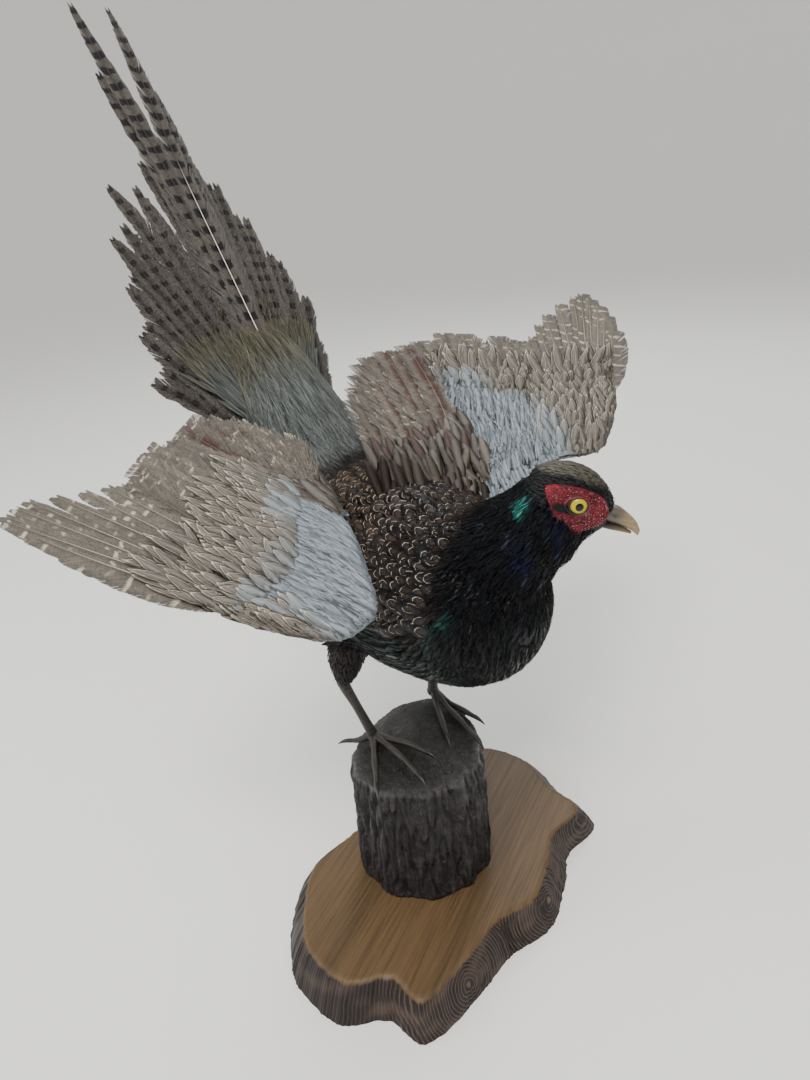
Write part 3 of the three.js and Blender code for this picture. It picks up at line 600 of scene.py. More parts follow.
def mantle_finish(dark, fringe):
    """Scale-like feathers with a narrow buff line set inside a dark rim."""
    f = Finish("mantle feathers", Roughness=0.55, Specular_IOR_Level=0.25)
    across, along = f.vane()
    wobble = f.times(f.less(f.noise(f.place(), 520.0), 0.5), 0.34)
    x = f.math("DIVIDE", f.less(across, 0.5), 0.37)
    y = f.math("DIVIDE", f.less(along, 0.42), 0.42)
    reach = f.math("SQRT", f.plus(f.times(x, x), f.times(y, y)))
    ring = f.math("ABSOLUTE", f.less(f.plus(reach, wobble), 0.86))
    line = f.rest(f.step(ring, 0.016, 0.066))
    line = f.times(line, f.step(along, 0.26, 0.40))
    line = f.times(line, f.step(f.noise(f.place(), 230.0), 0.34, 0.50))
    streaks = f.noise(f.node("CombineXYZ", f.times(across, 22.0), along,
                             f.fineness(70)), 1.0, 2.0)
    ground = f.grained(streaks, 0.3, 0.75, 0.75, (0.1, 0.1, 0.1))
    core = f.mix(f.step(reach, 0.35, 0.75), f.mix(0.25, f.tint(), dark), ground)
    return f.set(Base_Color=f.mix(line, core, fringe), Normal=f.bump(streaks, 0.5, 0.0003))


def quill_finish(name, mark, spacing, width, near, far, mottle, speck=(0.05, 0.045, 0.04), *,
                 fringe, fringe_from, centre=None, patchy=0.0):
    """Flight and tail feathers. Along runs in decimetres, across from 0 to 1 with the shaft at 0.5.

    mark is the bars' colour, spacing and width their rhythm, near and far the share of the vane they
    cross; mottle is how much of speck lies in the ground.
    """
    f = Finish(name, Roughness=0.62, Specular_IOR_Level=0.2)
    across, along = f.vane()
    out = f.from_shaft(across)
    grain = f.noise(f.place(), 780.0, 3.0, 0.7)
    broad = f.noise(f.place(), 130.0, 2.0)
    ground = f.mix(f.times(f.step(grain, 0.44, 0.60), mottle), f.tint(), speck)
    ground = f.mix(f.step(broad, 0.35, 0.75), ground, f.mix(0.35, ground, (0.9, 0.85, 0.75), "SOFT_LIGHT"))
    if centre:
        inner = f.rest(f.step(f.plus(out, f.times(broad, 0.5)), 0.45, 0.95))
        ground = f.mix(f.times(inner, f.step(broad, 0.38, 0.55)), ground, centre)
    phase = f.plus(f.math("DIVIDE", along, spacing), f.times(out, -0.22))
    phase = f.plus(phase, f.times(broad, 0.5))
    saw = f.math("ABSOLUTE", f.less(f.math("FRACT", phase), 0.5))
    bar = f.rest(f.step(saw, width * 0.5 - 0.04, width * 0.5 + 0.05))
    band = f.times(f.step(out, near - 0.03, near + 0.05),
                  f.rest(f.step(out, far - 0.12, far + 0.02)))
    share = f.times(bar, band)
    if patchy:
        share = f.times(share, f.step(f.noise(f.place(), 55.0, 2.0), patchy - 0.06, patchy + 0.08))
    colour_now = f.mix(share, ground, mark)
    edge = f.step(f.plus(out, f.times(f.less(grain, 0.5), 0.5)), fringe_from, fringe_from + 0.12)
    colour_now = f.mix(f.times(edge, f.step(broad, 0.4, 0.6)), colour_now, fringe)
    stem = f.rest(f.step(out, 0.008, 0.012))
    return f.set(Base_Color=f.mix(stem, colour_now, f.tint()), Normal=f.bump(grain, 0.25, 0.0003))


def covert_finish(name, fringe):
    """Larger coverts: brown centres, net-like cream fringes and a pale shaft."""
    f = Finish(name, Roughness=0.62, Specular_IOR_Level=0.2)
    across, along = f.vane()
    out = f.from_shaft(across)
    seed = f.fineness(60)
    streaks = f.noise(f.node("CombineXYZ", f.times(across, 18.0),
                             f.plus(f.times(along, 3.0), out), seed), 1.0, 3.0, 0.6)
    wobble = f.times(f.less(f.noise(f.place(), 240.0, 3.0), 0.5), 0.9)
    ground = f.grained(streaks, 0.3, 0.7, 0.6, (0.2, 0.19, 0.18))
    shape = f.plus(f.times(out, out), f.times(f.math("POWER", along, 3.0), 0.8))
    ring = f.math("ABSOLUTE", f.less(f.plus(shape, wobble), 0.78))
    line = f.times(f.rest(f.step(ring, 0.045, 0.12)), f.step(along, 0.2, 0.4))
    pale = f.math("GREATER_THAN", f.node("SeparateColor", f.tint(), out=0), 0.08)
    now = f.mix(f.times(line, pale), ground, fringe)
    stem = f.rest(f.step(out, 0.03, 0.09))
    now = f.mix(f.times(stem, 0.35), now, f.mix(0.5, f.tint(), fringe))
    return f.set(Base_Color=now, Normal=f.bump(streaks, 0.4, 0.0004))


def skin_finish():
    f = Finish("skin under the coat", Roughness=0.75)
    grain = f.noise(f.place(), 500.0, 3.0)
    return f.set(Base_Color=f.grained(grain, 0.3, 0.7, 0.6, (0.3, 0.3, 0.3)),
                 Normal=f.bump(grain, 0.5, 0.0006))


def wood_finish(light, dark):
    """Satin wood whose charred live edge shows fine ribs, and growth rings round knots on one side."""
    f = Finish("board wood", Roughness=0.5, Specular_IOR_Level=0.3)
    place = f.place()
    turned = f.tree.nodes.new("ShaderNodeMapping")
    turned.inputs["Rotation"].default_value = (0, 0, math.radians(-117))
    f.put(turned.inputs[0], place)
    grain = f.noise(f.stretched(turned.outputs[0], (5, 170, 50)), 3.0, 6.0, 0.65)
    bands = f.noise(f.stretched(turned.outputs[0], (1.2, 26, 8)), 2.2, 3.0)
    figure = f.plus(f.times(grain, 0.6), f.times(bands, 0.4))
    top = f.mix(f.step(figure, 0.38, 0.66), light, dark)
    height = f.node("SeparateXYZ", place, out=2)
    edge = f.rest(f.step(height, (BOARD_THICKNESS - 3.0) * MM, (BOARD_THICKNESS - 1.0) * MM))
    away = [f.node("VectorMath", place, (x * MM, y * MM, KNOT_HEIGHT * MM), out=1, operation="DISTANCE")
            for x, y in KNOTS]
    nearest = f.math("MINIMUM", f.math("MINIMUM", away[0], away[1]), f.math("MINIMUM", away[2], away[3]))
    wander = f.times(f.noise(place, 38.0, 2.0), 16.0)
    rings = f.math("SINE", f.plus(f.times(nearest, math.tau / GROWTH_RING), wander))
    knot = f.rest(f.step(nearest, 0.0018, 0.0034))
    ringed = f.math("MAXIMUM", f.times(f.step(rings, 0.2, 1.0), 0.6), knot)
    around = f.node("SeparateXYZ", f.node("UVMap", uv_map="OFBake"), out=0)
    ribs = f.math("SINE", f.plus(f.times(around, math.tau * EDGE_RIBS),
                                 f.times(f.noise(place, 60.0, 2.0), 5.0)))
    ribbed = f.times(f.step(ribs, 0.3, 1.0), 0.3)
    along = f.node("VectorMath", place, RINGED_WAY, out=1, operation="DOT_PRODUCT")
    here = f.step(along, *RINGED_FROM)
    lines = f.plus(f.times(ringed, here), f.times(ribbed, f.rest(here)))
    side = f.mix(lines, f.tint(), (0.115, 0.070, 0.042))
    relief = f.plus(grain, f.times(edge, f.times(lines, 1.5)))
    return f.set(Base_Color=f.mix(edge, top, side), Normal=f.bump(relief, 0.3, 0.0006))


def bark_finish():
    """Dark furrowed bark with slightly shiny patches and lighter flakes, which stand partly for wear and
    partly for painted highlights.
    """
    f = Finish("bark", Specular_IOR_Level=0.5)
    streak = f.noise(f.stretched(f.place(), (1, 1, 0.3)), 260.0, 5.0, 0.7)
    flake = f.noise(f.stretched(f.place(), (1, 1, 0.5)), 700.0, 5.0, 0.75)
    rough = f.plus(f.times(streak, 0.65), f.times(flake, 0.35))
    ground = f.grained(rough, 0.38, 0.62, 1.0, (0.3, 0.27, 0.3))
    # lighter flakes: partly wear, partly painted highlights
    worn = f.times(f.step(flake, 0.50, 0.62), f.step(streak, 0.42, 0.56))
    ground = f.mix(f.times(worn, 0.7), ground, (0.105, 0.085, 0.085))
    sheen = f.less(0.62, f.times(f.step(f.noise(f.place(), 55.0, 2.0), 0.35, 0.7), 0.42))
    f.put(f.shader.inputs["Roughness"], sheen)
    return f.set(Base_Color=ground, Normal=f.bump(f.plus(streak, flake), 1.0, 0.0022))


def plain_finish(name, roughness, scale, strength=0.4, distance=0.0003, contrast=0.35, **sockets):
    """The piece's own tint with fine grain in colour and relief."""
    f = Finish(name, Roughness=roughness, **sockets)
    grain = f.noise(f.place(), scale, 4.0, 0.6)
    colour_now = f.grained(grain, 0.3, 0.7, contrast, (0.1, 0.1, 0.1))
    return f.set(Base_Color=colour_now, Normal=f.bump(grain, strength, distance))


def iris_finish(iris):
    """Glass eye: along runs from the pupil's middle (0) over the iris to the rim (0.5) and the back (1)."""
    f = Finish("glass eye", Roughness=0.05, Specular_IOR_Level=0.35)
    across, along = f.vane()
    rays = f.noise(f.node("CombineXYZ", f.times(across, 90.0), f.times(along, 4.0)), 1.0, 2.0)
    ring = f.mix(f.times(f.step(rays, 0.3, 0.8), 0.3), iris, (0.42, 0.25, 0.02))
    pupil = f.mix(f.step(along, 0.195, 0.21), (0.003, 0.003, 0.004), ring)
    return f.set(Base_Color=f.mix(f.step(along, 0.43, 0.47), pupil, (0.03, 0.015, 0.01)))


# ---- Places in the bird

yaw, dip = math.radians(HEAD_YAW), math.radians(HEAD_DIP)
HEAD_FORWARD = np.array([math.cos(yaw) * math.cos(dip), math.sin(yaw) * math.cos(dip), -math.sin(dip)])
HEAD_LEFT = np.array([-math.sin(yaw), math.cos(yaw), 0.0])
HEAD_UP = np.cross(HEAD_FORWARD, HEAD_LEFT)
TAIL_AXIS = np.array([-math.cos(math.radians(TAIL_RISE)), 0, math.sin(math.radians(TAIL_RISE))])
TAIL_UP = np.array([math.sin(math.radians(TAIL_RISE)), 0, math.cos(math.radians(TAIL_RISE))])


def in_head(along, left, up):
    """A place from the eyes' middle: along the bill, to the bird's left, and up."""
    along, left, up = (np.asarray(v, float)[..., None] for v in (along, left, up))
    return HEAD_CENTRE + along * HEAD_FORWARD + left * HEAD_LEFT + up * HEAD_UP


def head_coordinates(p):
    d = np.asarray(p) - HEAD_CENTRE
    return d @ HEAD_FORWARD, d @ HEAD_LEFT, d @ HEAD_UP


def head_half_width(along, up):
    """Half width of the head at a height, from its stations."""
    along, up = np.atleast_1d(along).astype(float), np.atleast_1d(up).astype(float)
    rows = np.array([smooth_rows(HEAD_STATIONS, t)[0] for t in np.linspace(0, 1, 60)])
    top, bottom, wide = (np.interp(along, rows[:, 0], rows[:, k]) for k in (1, 2, 3))
    level = np.clip((up - (top + bottom) / 2) / ((top - bottom) / 2), -1, 1)
    return wide * (1 - level**2) ** 0.45


def inside_outline(outline, x, y):
    """True where points lie inside a closed outline."""
    x, y = np.atleast_1d(x), np.atleast_1d(y)
    result = np.zeros(x.shape, bool)
    a = np.asarray(outline, float)
    for (x0, y0), (x1, y1) in zip(a, np.roll(a, -1, axis=0)):
        crosses = (y0 > y) != (y1 > y)
        result ^= crosses & (x < (x1 - x0) * (y - y0) / ((y1 - y0) or 1e-9) + x0)
    return result


def spine_points(stations, side, t, angle):
    """Points on a round body and the directions out of it and along it."""
    t, angle = np.broadcast_arrays(np.asarray(t, float), np.asarray(angle, float))

    def place(share):
        row = smooth_rows(stations, share)
        ahead, behind = smooth_rows(stations, share + 0.01), smooth_rows(stations, share - 0.01)
        tangent = unit(ahead[:, :3] - behind[:, :3])
        wide = unit(side - tangent * (tangent @ side)[:, None])
        up = np.cross(tangent, wide)
        flat = np.cos(angle.ravel())[:, None] * row[:, 3:4] * wide
        return row[:, :3] + flat - np.sin(angle.ravel())[:, None] * row[:, 4:5] * up, row[:, :3], tangent

    points, centres, tangents = place(t.ravel())
    return points, unit(points - centres), tangents


def spine_roots(stations, side, along, across, rng, low, high):
    """Roots in staggered rows, along apart down the body and across apart round it."""
    shares = np.linspace(low, high, 200)
    lines = [spine_points(stations, side, shares, np.full(200, a))[0] for a in (0.0, 1.6, 3.1, 4.7)]
    reach = np.mean([reach_along(line) for line in lines], axis=0)
    rows = []
    for k, d in enumerate(np.arange(0, reach[-1], along)):
        share = np.interp(d, reach, shares)
        row = smooth_rows(stations, share)[0]
        count = max(int(math.tau * (row[3] + row[4]) / 2 / across), 4)
        angle = (np.arange(count) + 0.5 * (k % 2)) / count * math.tau
        angle = angle + rng.normal(0, 0.22, count) * math.tau / count
        spot = np.clip(share + rng.normal(0, 0.18, count) * along / reach[-1], low, high)
        rows.append(np.stack([spot, angle], -1))
    t, angle = np.vstack(rows).T
    points, out, tangent = spine_points(stations, side, t, angle)
    return points, out, tangent, np.stack([(angle / math.tau) % 1.0, t], -1)


class Flesh:
    """The skin's surface, to root feathers on and to lay them along."""

    def __init__(self, obj):
        self.co, self.normals = vertex_rows(obj.data) / MM, vertex_rows(obj.data, "normal")
        self.faces = [tuple(p.vertices) for p in obj.data.polygons]
        self.tree = BVHTree.FromPolygons([Vector(v) for v in self.co], self.faces)

    def near(self, points):
        flat = np.asarray(points, float).reshape(-1, 3)
        place, normal, gap = np.empty_like(flat), np.empty_like(flat), np.empty(len(flat))
        for i, p in enumerate(flat):
            hit, _, face, distance = self.tree.find_nearest(p)
            place[i], gap[i] = hit, distance
            normal[i] = self.normals[list(self.faces[face])].mean(0)
        shape = np.asarray(points).shape
        return place.reshape(shape), unit(normal).reshape(shape), gap.reshape(shape[:-1])


VANE_SHARES = np.array([0.0, 0.3, 0.6, 0.85, 1.0])
VANE_WIDTHS = np.array([0.35, 0.85, 1.0, 0.72, 0.12])
WISP_WIDTHS = np.array([0.5, 1.0, 0.9, 0.6, 0.1])
SOFT = dict(thick=0.14, camber=0.03, widths=np.array([0.6, 1.0, 0.9, 0.6, 0.2]))


def lay_feathers(strips, flesh, roots, lie, size, width, tint, bake, rng, *, low=0.4, rise=0.9, split=1,
                 widths=VANE_WIDTHS, thick=0.2, camber=0.06, spread=16.0, patch=0.003, reach=9.0,
                 shares=VANE_SHARES, stray=5.0, upright=None, afloat=False, arch=1.0):
    """Feathers rooted on the skin that follow it along their lie and lift a little to their tips."""
    place, normal, _ = flesh.near(roots)
    if afloat:
        place = np.asarray(roots, float)
    if upright is not None:
        normal = unit(normal + upright)
    lie = unit(lie - normal * np.einsum("ij,ij->i", lie, normal)[:, None])
    size, width = (np.broadcast_to(v, len(place)).astype(float) for v in (size, width))
    for k in range(split):
        lean = 0.0 if split == 1 else (k / (split - 1) - 0.5) * 2
        turn = np.radians(spread * lean + rng.normal(0, stray, len(place)))
        across = np.cross(lie, normal)
        way = lie * np.cos(turn)[:, None] + across * np.sin(turn)[:, None]
        long = size * rng.uniform(0.82, 1.1, len(place)) * (1 - 0.08 * abs(lean))
        start = place + across * (lean * width * 0.35)[:, None]
        centre = start[:, None] + way[:, None] * (long[:, None] * shares)[..., None]
        on, out, gap = flesh.near(centre)
        hold = (1 - smoothstep(reach * 0.4, reach, gap))[..., None]
        up = unit(out * hold + normal[:, None] * (1 - hold))
        height = low + rise * (1 - (1 - shares[None]) ** arch) * rng.uniform(0.6, 1.35, len(place))[:, None]
        centre = on * hold + centre * (1 - hold) + up * height[..., None]
        along = unit(np.gradient(centre, axis=1))
        side = unit(np.cross(along, up))
        up = np.cross(side, along)
        half = (width / 2 * (1.0 if split == 1 else 0.55))[:, None] * widths
        ridge = half * camber + thick / 2
        corner = np.array([-1.0, 0.0, 1.0, 0.0])
        vane = np.empty((len(place), len(shares), 4, 2))
        vane[..., 0] = 0.5 + 0.5 * (corner * (1.0 if split == 1 else 0.35) + lean * (split > 1) * 0.62)
        vane[..., 1] = shares[None, :, None]
        patches = bake[:, None, None] + (vane - 0.5) * patch
        shade = tint * rng.uniform(0.86, 1.12, (len(place), 1))
        strips.add(centre, side, up, half, np.full_like(half, thick), ridge, patches, vane,
                   shade[:, None, None])


HAIR_SHARES, HAIR_WIDTHS = np.array([0.0, 0.45, 1.0]), np.array([1.0, 0.8, 0.12])


def lay_hairs(strips, flesh, roots, lie, size, tint, bake, rng, width=0.65, **how):
    """Single loose barbs that break up the smooth feathers under them."""
    how = {"low": 0.6, "rise": 0.9, "camber": 0.35, "stray": 9.0, **how}
    tone = tint * rng.choice([0.45, 0.9, 1.1, 1.7], (len(roots), 1), p=[0.25, 0.25, 0.2, 0.3])
    lay_feathers(strips, flesh, roots, lie, size, width, tone, bake, rng, widths=HAIR_WIDTHS,
                 shares=HAIR_SHARES, **how)


# ---- The skin


def grown(points, faces, amount):
    """Points of a triangle mesh moved outwards, corners that coincide moving together."""
    keys, index = np.unique(np.round(points, 6), axis=0, return_inverse=True)
    index = index.ravel()
    normals = np.zeros_like(keys)
    a, b, c = (points[faces[:, k]] for k in range(3))
    for k in range(3):
        np.add.at(normals, index[faces[:, k]], np.cross(b - a, c - a))
    return points + unit(normals)[index] * amount


# In metres: the grid on which the solids are joined, and how far each is grown first.
SKIN_VOXEL, SKIN_GROWTH = 0.0022, 0.0005


def remeshed_flesh():
    """One closed surface round all the nodes of flesh."""
    points, faces, count = [], [], 0
    for name in FLESH:
        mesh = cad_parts[name].data
        co, tri = vertex_rows(mesh), triangles(mesh)
        points.append(grown(co, tri, SKIN_GROWTH))
        faces.append(tri + count)
        count += len(co)
    obj = mesh_object("skin", np.vstack(points) / MM, np.vstack(faces))
    remesh = obj.modifiers.new("remesh", "REMESH")
    remesh.mode = "VOXEL"
    remesh.voxel_size = SKIN_VOXEL
    smooth = obj.modifiers.new("smooth", "SMOOTH")
    smooth.factor, smooth.iterations = 0.5, 6
    depsgraph = bpy.context.evaluated_depsgraph_get()
    mesh = bpy.data.meshes.new_from_object(obj.evaluated_get(depsgraph))
    obj.modifiers.clear()
    obj.data = mesh
    return obj


# Centre of a painted highlight: a turquoise-green glint of the iridescent plumage at the breast's right side.
GREEN_GLINT_PLACE = np.array([83, -30, 280])


def coat_colour(p, plumage):
    """The bird's markings, shared by the skin and the coat over it."""
    p = np.asarray(p, float)
    x, z = p[..., 0], p[..., 2]
    along, left, up = head_coordinates(p)
    on_head = smoothstep(-34, -24, along) * smoothstep(-30, -20, up) * (1 - smoothstep(20, 24, abs(left)))
    flank = (1 - smoothstep(262, 285, z)) * smoothstep(-30, 20, x)
    base = mix(plumage.breast, plumage.breast_green, flank * smoothstep(-0.2, 0.8, ripple(p, 0.07, 3)))
    # painted highlight: a small turquoise-green glint, in a darker copy of the ear glint's colour
    patch = np.exp(-(np.linalg.norm((p - GREEN_GLINT_PLACE) / [5, 20, 8], axis=-1) ** 2))
    base = mix(base, np.array(plumage.ear_glint) * 0.45, 0.8 * patch * smoothstep(-0.6, 0.5, ripple(p, 0.2, 6)))
    # painted sheen: blue-violet glints of the iridescent lower neck, behind the face
    low_neck = np.exp(-(((along + 12) / 10) ** 2) - ((up + 27) / 12) ** 2)
    base = mix(base, plumage.violet, low_neck * smoothstep(-0.5, 0.4, ripple(p, 0.16, 5)))
    base = mix(base, np.array(plumage.mantle) * 0.6, mantle_share(p))
    rump = 1 - smoothstep(-66, -44, x - 0.12 * (z - 340))
    rump = rump * smoothstep(-20, 30, z - 316 + 0.9 * (x + 60) + 40)
    base = mix(base, plumage.rump, rump)
    olive = 1 - smoothstep(-168, -118, x + 8 * ripple(p, 0.1, 2))
    base = mix(base, plumage.rump_olive, olive)
    base = mix(base, plumage.thigh, smoothstep(20, 60, -(x + 20)) * (1 - rump) * (1 - olive))
    crown = on_head * smoothstep(11.5, 15.0, up + 0.12 * along + 3.2 * smoothstep(-8, -16, along))
    base = mix(base, plumage.crown, crown)
    # painted highlight: a turquoise glint of the iridescent feathers behind the face
    ear_glint = np.exp(-((along + 28) ** 2 + (up + 8) ** 2) / 9.0) * smoothstep(5, 9, abs(left))
    return mix(base, plumage.ear_glint, 0.85 * ear_glint * (1 - crown))


def mantle_share(p):
    """1 on the back and shoulders between the wings, 0 on the breast, flanks and rump."""
    x, y, z = p[..., 0], p[..., 1], p[..., 2]
    front = 1 - smoothstep(70, 84, x + 0.16 * (z - 300))
    rear = smoothstep(-56, -30, x + 9 * ripple(p, 0.11, 14))
    floor = 262 + 46 * smoothstep(8, 34, y)
    high = smoothstep(floor, floor + 18, z + 7 * ripple(p, 0.09, 15))
    return front * rear * high


def skin(context):
    plumage = context.scene.pheasant_plumage
    obj = remeshed_flesh()
    mesh = obj.data
    p, normal = vertex_rows(mesh) / MM, vertex_rows(mesh, "normal")
    along, left, up = head_coordinates(p)
    near_head = smoothstep(-36, -26, along) * (abs(left) < 26) * (abs(up) < 40)
    on_wing = smoothstep(66, 76, abs(p[:, 1] - BODY_Y))
    depth = plumage.coat_depth / MM * (1 - 0.72 * near_head) * (1 - 0.75 * on_wing)
    p = p - normal * depth[:, None]
    mesh.vertices.foreach_set("co", (p * MM).ravel())
    mesh.update()
    bake = np.stack([np.arctan2(p[:, 1] - BODY_Y, p[:, 2] - 290) / math.tau + 0.5,
                     (p[:, 0] + 260) / 420], -1)
    wing_tint = np.array(context.scene.pheasant_wings.covert) * 0.7
    dress(mesh, {"OFBake": bake}, mix(coat_colour(p, plumage) * 0.8, wing_tint, on_wing))
    return finish_piece(obj, skin_finish(), FLESH)


# ---- Body plumage

FLOW_SIDE = np.array([0.0, 1.0, 0.0])
NECK_SIDE = np.array([-0.45, 0.89, 0.0])
LIMB_SIDE = np.array([0.3, 0.95, 0.1])


def body_lie(p, tangent):
    """Feathers run aft along the body, and from the neck down over the breast."""
    down = smoothstep(30, 105, p[:, 0])[:, None]
    return unit(tangent) * (1 - down) + np.array([-0.45, 0.0, -1.0]) * down


def kept(flesh, points, out, depth=7.0):
    """Which roots lie near the skin's own surface rather than inside another limb."""
    _, normal, gap = flesh.near(points)
    return (gap < depth) & (np.einsum("ij,ij->i", normal, out) > 0.25)


# Each coat's body and its share of that body; for the smooth feathers and for the loose barbs over
# them, the spacing down and round the body, the length and the width.
COATS = {
    "breast": dict(stations=TRUNK_STATIONS, side=FLOW_SIDE, span=(0.0, 0.62),
                   base=(5.0, 5.0, 18, 7.0), barbs=(3.6, 3.8, 12, 0.8)),
    "rump": dict(stations=TRUNK_STATIONS, side=FLOW_SIDE, span=(0.42, 0.985),
                 base=(6.0, 4.6, 26, 5.0), barbs=(3.4, 2.7, 24, 0.85)),
    "neck": dict(stations=NECK_STATIONS, side=NECK_SIDE, span=(0.0, 0.97),
                 base=(3.4, 3.4, 12, 4.6), barbs=(2.6, 2.7, 9, 0.7)),
}


def coat_strips(name, flesh, rng, keep_rule, colour_rule, lie_rule):
    """Smooth feathers in rows and a layer of loose barbs over them."""
    coat, strips = COATS[name], Strips()
    for layer in ("base", "barbs"):
        along, across, size, width = coat[layer]
        points, out, tangent, bake = spine_roots(coat["stations"], coat["side"], along, across, rng,
                                                 *coat["span"])
        keep = keep_rule(points, out)
        points, tangent, bake = points[keep], tangent[keep], bake[keep]
        tint, lie = colour_rule(points), lie_rule(points, tangent)
        if layer == "base":
            lay_feathers(strips, flesh, points, lie, size, width, tint, bake, rng, low=0.3, rise=0.45,
                         **SOFT)
        else:
            lay_hairs(strips, flesh, points, lie, size, tint, bake, rng, width)
    return strips


def glinting(points, plumage, rng, share, glint, amount):
    """The body's markings with painted highlights: a few feathers tinted towards a glint colour, as if they
    caught the light.
    """
    tint = coat_colour(points, plumage)
    lit = rng.random(len(points)) < share
    tint[lit] = mix(tint[lit], glint, amount)
    return tint


def breast_coat(context, flesh):
    plumage = context.scene.pheasant_plumage
    rng = drawn("breast")

    def keep_rule(points, out):
        return kept(flesh, points, out) & (mantle_share(points) < 0.5) & (points[:, 0] > -92)

    def colour_rule(points):
        # painted highlights: a few breast feathers tinted pale as glints, more of them below 258 mm
        share = 0.012 + 0.03 * (points[:, 2] < 258)
        return glinting(points, plumage, rng, share, (0.22, 0.23, 0.22), 0.35)

    strips = coat_strips("breast", flesh, rng, keep_rule, colour_rule, body_lie)
    return feather_piece(strips, "breast_coat", "breast feathers", 0.32, 0.5, 0.14)


def mantle_coat(context, flesh):
    plumage = context.scene.pheasant_plumage
    rng = drawn("mantle")
    points, out, tangent, _ = spine_roots(TRUNK_STATIONS, FLOW_SIDE, 4.8, 6.0, rng, 0.0, 0.62)
    keep = kept(flesh, points, out, 9.0) & (mantle_share(points) >= 0.42)
    points, tangent = points[keep], tangent[keep]
    strips = Strips()
    rear = smoothstep(60, -30, points[:, 0] - 0.35 * np.abs(points[:, 1] - BODY_Y))
    tint = mix(np.array(plumage.breast) * 2.5, plumage.mantle, rear) * rng.uniform(0.7, 1.5, (len(points), 1))
    cells_across = int(math.ceil(math.sqrt(len(points))))
    cell = np.stack(np.divmod(np.arange(len(points)), cells_across), -1)
    lay_feathers(strips, flesh, points, tangent, 14, 9.4, tint, (cell + 0.5) / cells_across, rng, rise=0.6,
                 thick=0.14, camber=0.03, low=0.5, patch=0.8 / cells_across,
                 shares=np.array([0, 0.25, 0.5, 0.72, 0.9, 1.0]),
                 widths=np.array([0.4, 0.85, 1.0, 0.96, 0.66, 0.22]), stray=14.0)
    finish = mantle_finish(tuple(np.array(plumage.mantle) * 1.3), plumage.fringe)
    return finish_piece(strips.object("mantle_coat"), finish)


def rump_coat(context, flesh):
    plumage = context.scene.pheasant_plumage
    rng = drawn("rump")

    def keep_rule(points, out):
        on_rump = (points[:, 0] < -40) & (points[:, 2] > 262)
        return kept(flesh, points, out) & on_rump & (mantle_share(points) < 0.6)

    def colour_rule(points):
        return coat_colour(points, plumage) * rng.uniform(0.88, 1.14, (len(points), 1))

    strips = coat_strips("rump", flesh, rng, keep_rule, colour_rule, lambda p, t: t)
    return feather_piece(strips, "rump_coat", "rump feathers", 0.6, 0.7, 0.2)


def tail_covert_coat(context, flesh):
    """Loose hair-like tufts that spread from the rump over the roots of the tail's side fans."""
    plumage = context.scene.pheasant_plumage
    rng = drawn("tail_coverts")
    strips = Strips()
    for count, size, width, split, tones in ((120, 34, 4.6, 3, (0.8, 1.1)), (420, 32, 0.9, 1, (0.4, 1.6))):
        spread = np.concatenate([rng.uniform(7, 18, count // 2), rng.uniform(-25, -7, count - count // 2)])
        angle = np.radians(spread)
        ahead = rng.uniform(58, 108, count)
        way = TAIL_AXIS * np.cos(angle)[:, None] + FLOW_SIDE * np.sin(angle)[:, None]
        high = 3.0 - 4.0 * (ahead - 64) / 50 + 1.5 * (split == 1)
        roots = (TAIL_ROOT + FLOW_SIDE * (spread * 0.5)[:, None] + way * ahead[:, None]
                 + TAIL_UP * high[:, None])
        olive = smoothstep(66, 98, ahead + 5 * ripple(roots, 0.1, 2))
        tint = mix(plumage.rump, plumage.rump_olive, olive) * rng.uniform(*tones, (count, 1))
        bake = np.stack([(spread + 40) / 80, (ahead - 40) / 130], -1)
        lay_feathers(strips, flesh, roots, way, size, width, tint, bake, rng, low=0.0, rise=1.0, split=split,
                     widths=WISP_WIDTHS, spread=9, reach=0.5, stray=5.0, upright=TAIL_UP * 20, afloat=True,
                     thick=0.16, camber=0.1)
    return feather_piece(strips, "tail_covert_coat", "tail coverts", 0.6, 0.7, 0.2)


def neck_coat(context, flesh):
    plumage = context.scene.pheasant_plumage
    rng = drawn("neck")

    def colour_rule(points):
        # painted highlights: a few neck feathers tinted blue as glints
        return glinting(points, plumage, rng, 0.02, (0.10, 0.12, 0.20), 0.25)

    strips = coat_strips("neck", flesh, rng, lambda p, out: kept(flesh, p, out, 8.0), colour_rule,
                         lambda p, t: -t)
    return feather_piece(strips, "neck_coat", "neck feathers", 0.32, 0.5, 0.14)


